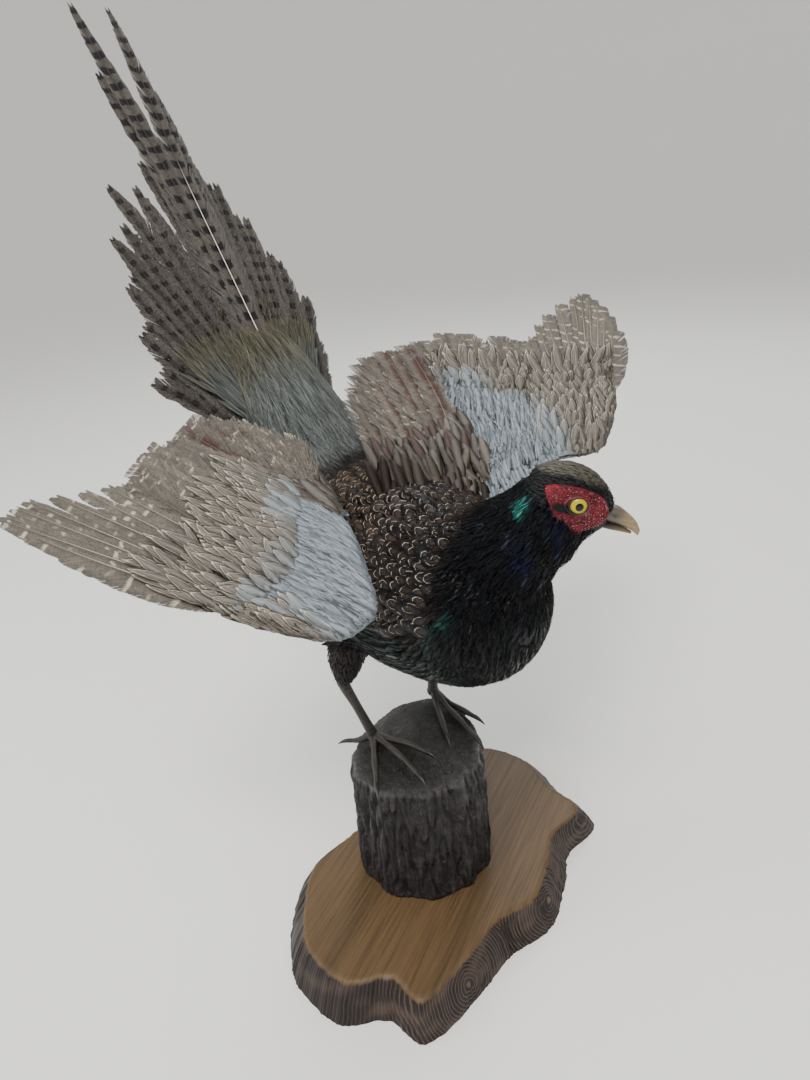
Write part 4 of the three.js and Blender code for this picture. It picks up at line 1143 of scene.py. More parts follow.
def head_coat(context, flesh):
    plumage = context.scene.pheasant_plumage
    rng = drawn("head")
    rows = []
    for along in np.arange(-31, 25, 1.7):
        share = np.interp(along, np.array(HEAD_STATIONS)[:, 0], np.linspace(0, 1, 8))
        row = smooth_rows(HEAD_STATIONS, share)[0]
        middle, tall, wide = (row[1] + row[2]) / 2, (row[1] - row[2]) / 2, row[3]
        count = max(int(math.pi * (tall + wide) / 1.9), 6)
        angle = (np.arange(count) + rng.uniform(0, 1, count)) / count * math.tau
        rows.append(np.stack([np.full(count, along) + rng.uniform(-0.8, 0.8, count), wide * np.cos(angle),
                              middle + tall * np.sin(angle), angle], -1))
    along, left, up, angle = np.vstack(rows).T
    bare = inside_outline(WATTLE_OUTLINE, along, up) & (abs(left) > 5)
    bill = (along > 17) & (up < 0)
    keep = ~bare & ~bill
    along, left, up, angle = along[keep], left[keep], up[keep], angle[keep]
    points = in_head(along, left, up)
    keep = flesh.near(points)[2] < 4
    points, along, angle = points[keep], along[keep], angle[keep]
    bake = np.stack([(angle / math.tau) % 1, (along + 32) / 60], -1)
    strips = Strips()
    tint = coat_colour(points, plumage)
    size = 3.2 + 3.6 * smoothstep(14, -26, along)
    lie = np.broadcast_to(-HEAD_FORWARD, points.shape)
    lay_feathers(strips, flesh, points, lie, size, 1.9, tint, bake, rng, widths=WISP_WIDTHS, rise=0.5,
                 low=0.25, thick=0.15, stray=9.0)
    return feather_piece(strips, "head_coat", "head feathers", 0.5, 0.6, 0.3)


def thigh_coats(context, flesh):
    plumage = context.scene.pheasant_plumage
    rng = drawn("thighs")
    strips = Strips()
    for index, leg in enumerate(LEGS.values()):
        knee, ankle = np.array(leg["knee"], float), np.array(leg["ankle"], float)
        stations = [[*knee, 18, 18], [*(knee + ankle) / 2, 16, 16], [*(ankle + [5, 0, 6]), 10, 10],
                    [*(ankle + [0, 0, 1]), 6.5, 6.5]]
        points, out, tangent, bake = spine_roots(stations, LIMB_SIDE, 4.5, 4.5, rng, 0.0, 0.97)
        keep = kept(flesh, points, out, 9.0)
        points, tangent, bake = points[keep], tangent[keep], bake[keep]
        bake = bake * [0.5, 1] + [0.5 * index, 0]
        tint = np.array(plumage.thigh) * rng.uniform(0.6, 1.8, (len(points), 1))
        lay_feathers(strips, flesh, points, tangent, 12, 3.6, tint, bake, rng, split=2, widths=WISP_WIDTHS,
                     rise=1.4, spread=12)
    return feather_piece(strips, "thigh_coats", "thigh feathers", 0.6, 0.7, 0.15)


# ---- Quills

QUILL_SHARES = np.array([0.0, 0.06, 0.16, 0.5, 0.78, 0.9, 0.97, 1.0])


# How far the vanes droop to their edges, a barb's thickness, and the bare share of the shaft's foot.
VANE_DROOP, BARB_THICK, BARE_SHARE = 0.10, 0.24, 0.05


def quill(strips, shaft, up, near, far, tip, cell, tint, barb, rng, *, lean, fray, stem, stem_tint,
          stem_fade=None):
    """A feather made of barbs on a shaft.

    shaft and up are rows down its length; near and far are the widths of the vanes on its two
    sides, and tip is the share of the width kept at each of QUILL_SHARES. lean is the barbs' slope
    at the foot and at the tip in degrees, fray how ragged they are and stem the shaft's thickness.
    """
    reach = reach_along(shaft)
    total = reach[-1]

    def read(rows, s):
        return np.stack([np.interp(s, reach, rows[:, k]) for k in range(3)], -1)

    u0, v0, u1, v1 = cell
    widest = max(near, far)
    tangents = unit(np.gradient(shaft, axis=0))
    for sign, wide in ((-1, near), (1, far)):
        s = np.arange(total * BARE_SHARE, total * 0.985, barb)
        s = s + rng.uniform(-0.2, 0.2, len(s)) * barb
        clump = ripple(s[:, None], 0.16, int(rng.integers(1 << 30)))
        clump = clump + 0.6 * ripple(s[:, None], 0.5, int(rng.integers(1 << 30)))
        share = s / total
        slope = np.radians(lean[0] + (lean[1] - lean[0]) * share + 4.5 * fray * clump)
        width = wide * np.interp(share, QUILL_SHARES, tip) * (1 - fray * 0.25 * np.abs(clump))
        width = width * np.where(rng.random(len(s)) < 0.03 * fray, rng.uniform(0.4, 0.9, len(s)), 1.0)
        long = np.minimum(width / np.sin(slope), (total * 1.012 - s) / np.cos(slope))
        root, along, lift = read(shaft, s), unit(read(tangents, s)), unit(read(up, s))
        side = unit(np.cross(lift, along)) * -sign
        stations = np.array([0.0, 0.5, 1.0])
        bend = slope[:, None] * np.array([1.0, 0.94, 0.82])
        halves = np.array([0.0, 0.5, 0.5]) * long[:, None]
        forward, outward_by = np.cumsum(halves * np.cos(bend), 1), np.cumsum(halves * np.sin(bend), 1)
        drop = VANE_DROOP * outward_by**2 / max(wide, 1) + rng.uniform(-0.12, 0.12, (len(s), 1)) * stations
        centre = (root[:, None] + along[:, None] * forward[..., None] + side[:, None] * outward_by[..., None]
                  - lift[:, None] * drop[..., None])
        way = unit(np.gradient(centre, axis=1))
        raised = np.broadcast_to(lift[:, None], way.shape)
        flank = unit(np.cross(way, raised))
        half = barb * np.sin(slope)[:, None] * np.array([0.68, 0.66, 0.46]) + 0.04
        vane = np.empty((len(s), 3, 4, 2))
        vane[..., 0] = 0.5 + 0.5 * sign * (outward_by / np.maximum(outward_by[:, -1:], 1e-6)
                                           * np.maximum(width / max(wide, 1e-6), 0.3)[:, None])[..., None]
        vane[..., 1] = ((s[:, None] + forward) / 100)[..., None]
        bake = np.empty_like(vane)
        bake[..., 0] = u0 + (u1 - u0) * (0.5 + 0.48 * sign * (outward_by / widest)[..., None])
        bake[..., 1] = v0 + (v1 - v0) * np.clip((s[:, None] + forward) / total, 0, 1)[..., None] * 0.98
        strips.add(centre, flank, unit(np.cross(flank, way)), half,
                   np.full_like(half, BARB_THICK), half * 0.2 + BARB_THICK / 2, bake, vane,
                   (tint * rng.uniform(0.9, 1.1, (len(s), 1)))[:, None, None])
    count = max(int(total / 14), 6)
    s = np.linspace(0, total * 0.995, count)
    width = (stem / 2) * (1 - 0.86 * s / total)
    along, lift = unit(read(tangents, s)), unit(read(up, s))
    vane = np.full((1, count, 4, 2), 0.5)
    vane[..., 1] = (s / 100)[None, :, None]
    bake = np.empty_like(vane)
    bake[..., 0] = (u0 + u1) / 2 + (u1 - u0) * 0.01 * np.array([-1, 0, 1, 0])
    bake[..., 1] = (v0 + (v1 - v0) * s / total * 0.98)[None, :, None]
    stem_tint = np.broadcast_to(np.asarray(stem_tint, float), (count, 3))
    if stem_fade:
        stem_tint = mix(stem_tint, tint * 0.6, smoothstep(stem_fade, stem_fade + 0.1, s / total))
    strips.add(read(shaft, s)[None], np.cross(along, lift)[None], lift[None], width[None],
               (width * 1.6)[None], (width * 0.8 + 0.1)[None], bake, vane, stem_tint[None, :, None])


def cells(count, columns):
    """Squares of the unwrap, one for each feather."""
    rows = int(math.ceil(count / columns))
    for k in range(count):
        i, j = k % columns, k // columns
        yield (i + 0.03) / columns, (j + 0.03) / rows, (i + 0.97) / columns, (j + 0.97) / rows


def curve_places(places, count):
    rows = np.array([[*p, 0.0][:3] for p in places], float)
    return smooth_rows(rows, np.linspace(0, 1, count))


# ---- Tail

SHAFT_POINTS = 24
TAIL_TIP = [0.45, 0.8, 1.0, 0.95, 0.72, 0.46, 0.24, 0.08]
FAN_TIP = [0.4, 0.8, 1.0, 1.0, 0.78, 0.5, 0.26, 0.08]


def tail_shaft(length_mm, spread, depth, bow):
    """The curve of a tail feather's shaft, and which way is up along it."""
    angle = math.radians(spread)
    out = TAIL_AXIS * math.cos(angle) + FLOW_SIDE * math.sin(angle)
    across = np.cross(TAIL_UP, out)
    root = TAIL_ROOT + FLOW_SIDE * spread * 0.5 - TAIL_UP * depth
    v = np.linspace(0, 1, SHAFT_POINTS)[:, None]
    line = root + out * length_mm * v + TAIL_UP * 16 * v * (1 - v) + across * bow * np.sin(v * math.pi)
    line = line + across * 1.6 * np.sin(v * 11 + spread) * v**2
    return line, np.broadcast_to(TAIL_UP, line.shape)


def rolled(up, shaft, degrees):
    """Up directions turned about the shaft."""
    along = unit(np.gradient(shaft, axis=0))
    across = np.cross(along, up)
    angle = math.radians(degrees)
    return up * math.cos(angle) + across * math.sin(angle)


def tail_feathers(context):
    tail = context.scene.pheasant_tail
    rng = drawn("tail")
    ground, speck = np.array(tail.ground), tuple(np.array(tail.ground) * 0.28)
    spacing = tail.bar_spacing / 0.1
    barb = tail.barb / MM
    middle_finish = quill_finish("middle tail feathers", tail.bar, spacing, 0.42, 0.02, 0.60, 0.6, speck,
                                 fringe=speck, fringe_from=0.9)
    side_finish = quill_finish("side tail feathers", tail.bar, spacing * 0.8, 0.34, 0.02, 0.30, 0.95, speck,
                               fringe=speck, fringe_from=0.84, patchy=0.40)
    centre = [TAIL_RIGHT[1], TAIL_LEFT[1], TAIL_RIGHT[0], TAIL_LEFT[0]]
    strips = Strips()
    for k, ((long, spread), cell) in enumerate(zip(centre, cells(4, 4))):
        outer = math.copysign(1, spread)
        shaft, up = tail_shaft(long, spread, 1.2 if k < 2 else -0.3 - 0.5 * (k == 3), 3 * outer)
        wide = 12.5 if k < 2 else 11.5
        quill(strips, shaft, rolled(up, shaft, 3 * outer), wide, wide, TAIL_TIP, cell, ground, barb, rng,
              lean=(40, 15), fray=0.7, stem=1.4, stem_tint=tail.shaft if k == 3 else ground * 0.6,
              stem_fade=0.55 if k == 3 else None)
    finish_piece(strips.object("tail_middle"), middle_finish, ["tail_centre"])
    for side, rows, sign in (("left", TAIL_LEFT[2:], 1), ("right", TAIL_RIGHT[2:], -1)):
        strips = Strips()
        between = [((a[0] + b[0]) / 2 - 14, (a[1] + b[1]) / 2) for a, b in zip(rows, rows[1:])]
        fan = sorted([*rows, *between], key=lambda row: -row[0])
        for k, ((long, spread), cell) in enumerate(zip(fan, cells(len(fan), 4))):
            shaft, up = tail_shaft(long, spread, 4.0 + 0.3 * k, rng.uniform(-2.0, 2.0))
            inner, outer = 13.0, 10.5
            tone = ground * rng.uniform(0.72, 1.1)
            quill(strips, shaft, rolled(up, shaft, 4 * sign), inner if sign > 0 else outer,
                  outer if sign > 0 else inner, FAN_TIP, cell, tone, barb * 1.15, rng, lean=(40, 22),
                  fray=0.7, stem=1.2, stem_tint=tone * 0.5)
        finish_piece(strips.object(f"tail_fan_{side}"), side_finish, [f"tail_{side}"])


# ---- Wings

WING_TIP = [0.35, 0.85, 1.0, 1.0, 0.84, 0.7, 0.48, 0.2]
SLIT_TIP = [0.35, 0.85, 1.0, 0.86, 0.54, 0.44, 0.3, 0.1]
ROUND_TIP = [0.4, 0.8, 1.0, 1.0, 1.0, 0.86, 0.58, 0.22]
# For each group of quills: their number and height; the widths of their vanes and how ragged they
# are; their shafts; the bars' spacing, width, inner and outer limit and mottling; and where their
# fringe and the patches of their bars begin.
WING_FANS = {
    "primary": dict(nodes="primaries", count=10, over=0.0, near=6.0, far=14.0, tip=WING_TIP, fray=0.35,
                    stem=1.7, stem_tone=0.75, bars=(0.15, 0.16, 0.12, 0.95, 0.45), fringe_from=0.93,
                    patchy=0.49),
    "secondary": dict(nodes="secondaries", count=12, over=0.7, near=10.0, far=13.0, tip=ROUND_TIP, fray=0.9,
                      stem=1.0, stem_tone=0.5, bars=(0.09, 0.16, 0.35, 1.0, 0.55), fringe_from=0.90,
                      patchy=0.52),
    "tertial": dict(nodes="tertials", count=9, over=1.6, near=13.0, far=13.0, tip=ROUND_TIP, fray=0.9,
                    stem=1.0, stem_tone=0.5, bars=(0.10, 0.12, 0.5, 1.0, 0.6), fringe_from=0.86, patchy=0.56),
}


class Wing:
    """Places in a wing: reach towards its tip, aft, and lift out of its upper side."""

    def __init__(self, side):
        self.side, self.spec = side, WINGS[side]
        self.sign = self.spec["sign"]
        self.wrist = np.array(self.spec["wrist"], float)
        self.reach = unit(np.array(self.spec["tip"]) - self.wrist)
        level = unit(np.cross(self.reach, [0, 0, 1]))
        upright = unit(np.cross(level, self.reach))
        roll = math.radians(self.spec["roll"])
        towards = level * (1 if level[0] > 0 else -1)
        self.lift = upright * math.cos(roll) + towards * math.sin(roll)
        self.aft = np.cross(self.lift, self.reach) * self.sign

    def at(self, places):
        return self.wrist + np.asarray(places, float) @ np.stack([self.reach, self.aft, self.lift])

    def surface(self, t, chord, face=1):
        """Places on the arm: t from wing-front to shoulder, chord from its front edge to its rear."""
        row = smooth_rows(self.spec["arm"], np.atleast_1d(t))
        chord = np.atleast_1d(chord)[:, None]
        front, rear, thick = row[:, 0:3], row[:, 3:6], row[:, 6:7]
        full = 1.9 * chord**0.5 * (1 - chord) ** 0.95 * thick / 2
        level = front + (rear - front) * chord
        level[:, 2:3] += (1.15 if face > 0 else -0.85) * full
        return self.at(level)

    def lie(self, t):
        """The covert feathers' own direction."""
        row = smooth_rows(self.spec["arm"], np.atleast_1d(t))
        aft = (row[:, 1] + row[:, 4]) / 2
        if self.sign < 0:
            degrees = np.full(len(aft), 12.0)
        else:
            degrees = np.interp(aft, [0, 130], [5, 26])
        angle = np.radians(degrees)[:, None]
        return self.reach * np.cos(angle) + self.aft * np.sin(angle)


def flight_feathers(context, side):
    wings = context.scene.pheasant_wings
    wing = Wing(side)
    rng = drawn(f"flight_{side}")
    ground, barb = np.array(wings.flight), wings.barb / MM
    for kind, fan in WING_FANS.items():
        strips = Strips()
        count = fan["count"]
        roots = curve_places(wing.spec[f"{kind}_roots"], count)
        tips = curve_places(wing.spec[f"{kind}_tips"], count)
        for k, cell in enumerate(cells(count, 4)):
            v = np.linspace(0, 1, 22)[:, None]
            end = roots[k] + (tips[k] - roots[k]) * (1.0 if kind == "primary" else rng.uniform(0.88, 1.0))
            place = roots[k] * (1 - v) + end * v
            place[:, 2] += fan["over"] + 5 * (v * (1 - v))[:, 0] - 0.35 * (k % 2) - 5 * (1 - v[:, 0]) ** 8
            place[:, 1] -= (2.5 - 4.0 * k / count + rng.uniform(-1, 1)) * np.sin(v[:, 0] * math.pi)
            shaft = wing.at(place)
            up = rolled(np.broadcast_to(wing.lift, shaft.shape), shaft, 5.0 * wing.sign)
            near = 4.0 if kind == "primary" and k == 0 else fan["near"]
            vanes = (near, fan["far"]) if wing.sign > 0 else (fan["far"], near)
            slender = kind == "primary" and wing.sign < 0
            quill(strips, shaft, up, *vanes, SLIT_TIP if slender else fan["tip"], cell,
                  ground * rng.uniform(0.8, 1.12), barb, rng, lean=(38, 21), fray=fan["fray"],
                  stem=fan["stem"], stem_tint=np.array(wings.bars) * fan["stem_tone"])
        finish = quill_finish(f"{fan['nodes']} {side}", wings.bars, *fan["bars"], fringe=wings.bars,
                              fringe_from=fan["fringe_from"], patchy=fan["patchy"],
                              centre=wings.tertial if kind == "tertial" else None)
        finish_piece(strips.object(f"{fan['nodes']}_{side}"), finish,
                     [f"wing_{side}_{fan['nodes']}"])


LONG_SHARES = np.array([0, 0.2, 0.45, 0.68, 0.86, 1.0])
# Rows of larger coverts: share of the arm's chord, length and height over the skin.
RIGHT_COVERTS = [(0.97, 40, 2.6), (0.92, 36, 2.3), (0.87, 33, 2.0), (0.82, 30, 1.8), (0.77, 28, 1.6),
                 (0.72, 26, 1.4), (0.67, 24, 1.2), (0.62, 22, 1.0), (0.57, 20, 0.8), (0.52, 18, 0.6)]
LEFT_COVERTS = [(0.99, 38, 2.2), (0.95, 33, 2.0), (0.91, 29, 1.8), (0.87, 25, 1.6), (0.83, 21, 1.4)]
# Rows along the left wing's front edge: how far ahead of it and below it; feathers in a row.
FRONT_ROWS, FRONT_COUNT = [(1, 4), (4, 2), (4, 8), (10, 3), (15, 6)], 60


def covert_roots(wing, chords, across, rng, face, high):
    """Staggered rows of roots over the arm, one row for each chord share."""
    low = 0.02
    shares = np.linspace(low, high, 160)
    rows = []
    for k, chord in enumerate(chords):
        line = wing.surface(shares, np.full(160, chord), face)
        reach = reach_along(line)
        s = np.arange(across * 0.5 * (k % 2), reach[-1], across) + rng.uniform(-0.8, 0.8)
        t = np.clip(np.interp(s, reach, shares) + rng.normal(0, 0.006, len(s)), low, high)
        rows.append(np.stack([t, np.clip(chord + rng.normal(0, 0.008, len(s)), 0.01, 0.97)], -1))
    return np.vstack(rows)


def wing_coverts(context, flesh, side):
    """Blue-grey lesser coverts, then net-patterned larger ones out over the flight feathers."""
    wings, plumage = context.scene.pheasant_wings, context.scene.pheasant_plumage
    wing = Wing(side)
    rng = drawn(f"coverts_{side}")
    pale, ground = np.array(wings.covert), np.array(wings.flight)
    dark = np.array(plumage.mantle)

    def tints(t, chord):
        edge = 0.55 if wing.sign < 0 else np.interp(t, [0.34, 0.50, 0.70], [0.05, 0.60, 0.86])
        wander = 0.09 * ripple(np.stack([t * 20, chord * 9], -1), 1.0, 8)
        hand = smoothstep(0.42, 0.34, t) if wing.sign > 0 else smoothstep(0.24, 0.12, t)
        brown = np.maximum(smoothstep(edge - 0.08, edge + 0.08, chord + wander), hand)
        tone = mix(pale, ground * 1.1, brown)
        inner = smoothstep(0.80, 0.93, t) * smoothstep(0.3, 0.5, chord) if wing.sign > 0 else 0 * t
        return mix(tone, dark * 0.8, inner)

    def laid(strips, laying, chords, across, size, width, face=1, bake_place=(0.02, 0.02), hold=1.5, low=0.4,
             until=0.99, **how):
        roots = covert_roots(wing, chords, across, rng, face, until)
        if face > 0 and wing.sign > 0:
            raised = np.interp(roots[:, 0], [0.5, 0.6, 0.7, 0.8, 0.88], [0, 1.5, 4, 8, 14])
            low = low + (raised * smoothstep(0.12, 0.35, roots[:, 1]))[:, None]
        points = wing.surface(roots[:, 0], roots[:, 1], face) + wing.lift * face
        tone = tints(roots[:, 0], roots[:, 1]) if face > 0 else np.broadcast_to(ground * 1.3, points.shape)
        laying(strips, flesh, points, wing.lie(roots[:, 0]), size, width=width, tint=tone,
               bake=roots * [0.9, 0.45] + bake_place, rng=rng, upright=wing.lift * face * hold,
               low=low, **how)

    soft = dict(low=0.3, rise=0.6, **SOFT)
    last = 0.66 if wing.sign < 0 else 0.98
    small = Strips()
    laid(small, lay_feathers, np.arange(0.02, 0.34, 0.05), 4.2, 15, 5.4, **soft)
    laid(small, lay_feathers, np.arange(0.34, last, 0.06), 4.6, 21, 6.0, **soft)
    laid(small, lay_hairs, np.arange(0.02, last, 0.026), 2.8, 16, 0.85)
    laid(small, lay_feathers, np.arange(0.22, 0.9, 0.11), 7.0, 24, 10, -1, (0.02, 0.52))
    if wing.sign > 0:
        for ahead, down in FRONT_ROWS:
            t = np.linspace(0.30, 0.97, FRONT_COUNT) + rng.normal(0, 0.004, FRONT_COUNT)
            edge = np.full(FRONT_COUNT, 0.02)
            points = wing.surface(t, edge)
            points = points - (wing.reach * ahead + wing.lift * down) * smoothstep(0.38, 0.58, t)[:, None]
            lay_feathers(small, flesh, points, wing.lie(t), 19, 5.0, tints(t, edge / 2),
                         np.stack([t * 0.9, edge + 0.47], -1), rng, afloat=True, upright=wing.lift * 20,
                         reach=0.5, **soft)
    feather_piece(small, f"lesser_coverts_{side}", f"lesser coverts {side}", 0.62, 0.5,
                  0.25)
    large = Strips()
    rows = RIGHT_COVERTS if wing.sign < 0 else LEFT_COVERTS
    net = dict(stray=10.0, patch=0.02, reach=0.5, thick=0.16, camber=0.03, arch=3.0, shares=LONG_SHARES,
               widths=np.array([0.15, 0.75, 1.0, 0.95, 0.7, 0.3]))
    for chord, size, low in rows:
        laid(large, lay_feathers, [chord], 3.5, size, 5.9 if wing.sign < 0 else 7.4, hold=8.0, low=0.3,
             rise=low + 1.2, **net)
    hand, until = (np.arange(0.08, 0.80, 0.09), 0.50) if wing.sign > 0 else (np.arange(0.06, 0.5, 0.08), 0.24)
    laid(large, lay_feathers, hand, 3.9, 24, 6.2, low=0.5, rise=0.9, until=until, **net)
    finish = covert_finish(f"greater coverts {side}", wings.bars)
    finish_piece(large.object(f"greater_coverts_{side}"), finish)


# Rows of feathers over the inner quills' roots: how far ahead of them, how high, and their rise.
SCAPULAR_ROWS = [(-7, 1.5, 1.5), (7, -1, 5), (21, -6, 9.6), (35, -14, 15), (49, -23, 17), (62, -32, 19)]


def scapulars(context, flesh):
    """Long dark feathers that close the space between the inner quills, the wing's root and the back."""
    wings, plumage = context.scene.pheasant_wings, context.scene.pheasant_plumage
    rng = drawn("scapulars")
    strips = Strips()
    quilled = dict(shares=LONG_SHARES, stray=9.0, patch=0.03, reach=0.5,
                   widths=np.array([0.45, 0.85, 1.0, 0.95, 0.7, 0.25]), thick=0.1, camber=0.02)
    for side, rows in (("right", 2), ("left", 6)):
        wing = Wing(side)
        count = 42
        line = np.linspace(-0.25, 1.15, count)
        first, last = (np.array(place, float) for place in wing.spec["tertial_roots"])
        roots = first + (last - first) * line[:, None]
        tips = smooth_rows(wing.spec["tertial_tips"], line)
        heading = unit((tips - roots) * [1, 1, 0])
        for k, (ahead, high, rise) in enumerate(SCAPULAR_ROWS[:rows]):
            start = wing.at(roots - heading * (ahead + rng.uniform(-4, 4, (count, 1))) + [0, 0, high])
            lie = wing.at(tips) - wing.at(roots)
            dark = np.clip((k - 1.5) / 3 + 0.7 * (line - 0.35), 0, 1)
            tone = mix(np.array(wings.flight) * 0.95, np.array(plumage.mantle) * 0.5, dark)
            tone = mix(tone, wings.tertial, 0.8 * (rng.random(count) < 0.3) * (k < 3))
            bake = np.stack([(line + 0.3) / 1.6, np.full(count, (k + 0.5) / 12 + 0.5 * (side == "left"))], -1)
            tone = tone * rng.uniform(0.85, 1.12, (count, 1))
            lay_feathers(strips, flesh, start, lie, 36, 7.0, tone, bake, rng, rise=rise, low=0.0, arch=1.6,
                         upright=wing.lift * 20, afloat=True, **quilled)
        if side == "left":
            continue
        for t, chord, count in ((0.98, (0.25, 0.95), 12), (0.93, (0.30, 0.95), 11), (0.88, (0.35, 0.95), 11),
                                (0.83, (0.40, 0.95), 10)):
            c = np.linspace(*chord, count)
            points = wing.surface(np.full(count, t), c) + wing.lift * 2
            tone = mix(np.array(plumage.mantle), np.array(wings.flight), np.full(count, 0.35))
            bake = np.stack([c * 0.9, np.full(count, 0.22 + t * 0.25)], -1)
            lay_feathers(strips, flesh, points, wing.lie(np.full(count, t)), 56 - 12 * c, 11.0,
                         tone * rng.uniform(0.6, 1.3, (count, 1)), bake, rng, low=2.2, rise=2.0,
                         upright=wing.lift * 4, **quilled)
    return feather_piece(strips, "scapulars", "scapulars", 0.62, 0.6, 0.2)


# ---- Head


def wattle_place(side, along, up, lift):
    """A place that stands out by lift from the side of the head."""
    return in_head(along, side * (head_half_width(along, up) + lift), up)


SLOT_PLACE, SLOT_SIZE = (-6.5, -3.8), (8.5, 3.0)


def slot_share(along, up):
    """1 in the dark slot that runs back from under the eye."""
    tilt = up - SLOT_PLACE[1] - 0.10 * (along - SLOT_PLACE[0])
    return np.exp(-(((along - SLOT_PLACE[0]) / SLOT_SIZE[0]) ** 4) - (tilt / SLOT_SIZE[1]) ** 2)


def face_pads(context):
    settings = context.scene.pheasant_head
    red = np.array(settings.wattle)
    rays = 112
    outline = closed_curve(WATTLE_OUTLINE, rays)
    angle = np.arctan2(outline[:, 1], outline[:, 0])
    rim = circle(angle) * [5.4, 5.0]
    top, under = np.linspace(0, 1, 26), np.linspace(1, 0, 4)
    profile = np.concatenate([top, under])
    swell = np.sin(np.clip(top * 1.06, 0, 1) * math.pi) ** 0.35
    lifts = np.concatenate([0.35 + 0.75 * swell - 0.7 * (top > 0.97), np.full(4, -1.2)])
    for side, sign in SIDES.items():
        grid = rim[None] * (1 - profile[:, None, None]) + outline[None] * profile[:, None, None]
        fold = 0.14 * np.sin(5.5 * profile[:, None] * math.pi + 2.5 * np.sin(angle[None] * 2.0))
        slot = slot_share(grid[..., 0], grid[..., 1])
        fold = (fold * (np.sin(profile * math.pi) ** 0.5)[:, None] - 1.0 * slot) * (lifts > 0)[:, None]
        points = wattle_place(sign, grid[..., 0], grid[..., 1], lifts[:, None] + fold)
        faces = ring_faces(len(profile) + 1, rays) % (len(profile) * rays)
        shade = 0.8 + 0.7 * smoothstep(8, 17, abs(grid[..., 0] + 2)) + 0.15 * ripple(points, 1.2, 4)
        tint = mix(red * shade[..., None], (0.006, 0.004, 0.005), smoothstep(0.25, 0.6, slot))
        tint = mix(tint, (0.02, 0.006, 0.008), smoothstep(0.10, 0.0, profile)[:, None] * np.ones(rays))
        u, v = np.meshgrid(np.arange(rays) / rays, np.arange(len(profile)) / len(profile))
        bake = {"OFBake": np.stack([0.02 + 0.96 * np.abs(2 * u - 1), 0.02 + 0.96 * v], -1)}
        pad = mesh_object(f"face_pad_{side}", points, faces, bake, tint)
        outward(pad)
        finish = plain_finish(f"face skin {side}", 0.6, 800.0, 0.8, 0.0006, 0.9, Specular_IOR_Level=0.2)
        finish_piece(pad, finish, [f"wattle_{side}"])


def papillae(context):
    """Small raised nubs that give the bare face its velvety look."""
    settings = context.scene.pheasant_head
    rng = drawn("papillae")
    step = settings.papilla / MM
    strips = Strips()
    for index, sign in enumerate((1, -1)):
        x, y = np.meshgrid(np.arange(-22, 21, step), np.arange(-23, 10, step), indexing="ij")
        x = x.ravel() + rng.uniform(-0.45, 0.45, x.size) * step
        y = y.ravel() + rng.uniform(-0.45, 0.45, y.size) * step
        keep = inside_outline(np.array(WATTLE_OUTLINE) * 0.98, x, y) & (np.hypot(x / 6.6, y / 6.1) > 1)
        keep &= slot_share(x, y) < 0.25
        x, y = x[keep], y[keep]
        root = wattle_place(sign, x, y, 0.6)
        out = unit(wattle_place(sign, x, y, 2.0) - root + unit(root - HEAD_CENTRE) * 0.8)
        tall = rng.uniform(0.7, 1.5, len(x))
        way = unit(out - HEAD_FORWARD * rng.uniform(0.1, 0.6, (len(x), 1)) - HEAD_UP * 0.2)
        share = np.array([0.0, 0.6, 1.0])
        centre = root[:, None] + way[:, None] * (tall[:, None] * share)[..., None]
        side = np.broadcast_to(unit(np.cross(way, HEAD_UP))[:, None], centre.shape)
        up = np.cross(side, way[:, None])
        half = step * 0.42 * np.array([1.0, 0.9, 0.35]) * rng.uniform(0.8, 1.2, (len(x), 1))
        shade = rng.uniform(0.75, 1.5, (len(x), 1))
        tint = np.array(settings.wattle) * shade
        speck = rng.random(len(x))
        pale = speck < 0.14 + 0.2 * smoothstep(4, 16, x)
        tint[pale] = mix(tint[pale], (0.30, 0.19, 0.19), 0.7)
        tint[speck > 0.68] = (0.02, 0.004, 0.007)
        bake = np.stack([(x + 23) / 45 * 0.48 + 0.5 * index + 0.01, (y + 24) / 35], -1)
        vane = np.zeros((len(x), 3, 4, 2)) + 0.5
        strips.add(centre, side, up, half, half * 2, half, bake[:, None, None], vane, tint[:, None, None])
    return finish_piece(strips.object("face_papillae"), plain_finish("papillae", 0.42, 1500.0, 0.3))


EYE_DOME, EYE_RIM = 7.0, 5.3
EYE_FRONT_RINGS, EYE_BACK_RINGS, LID_RINGS, LID_POINTS = 34, 10, 72, 10


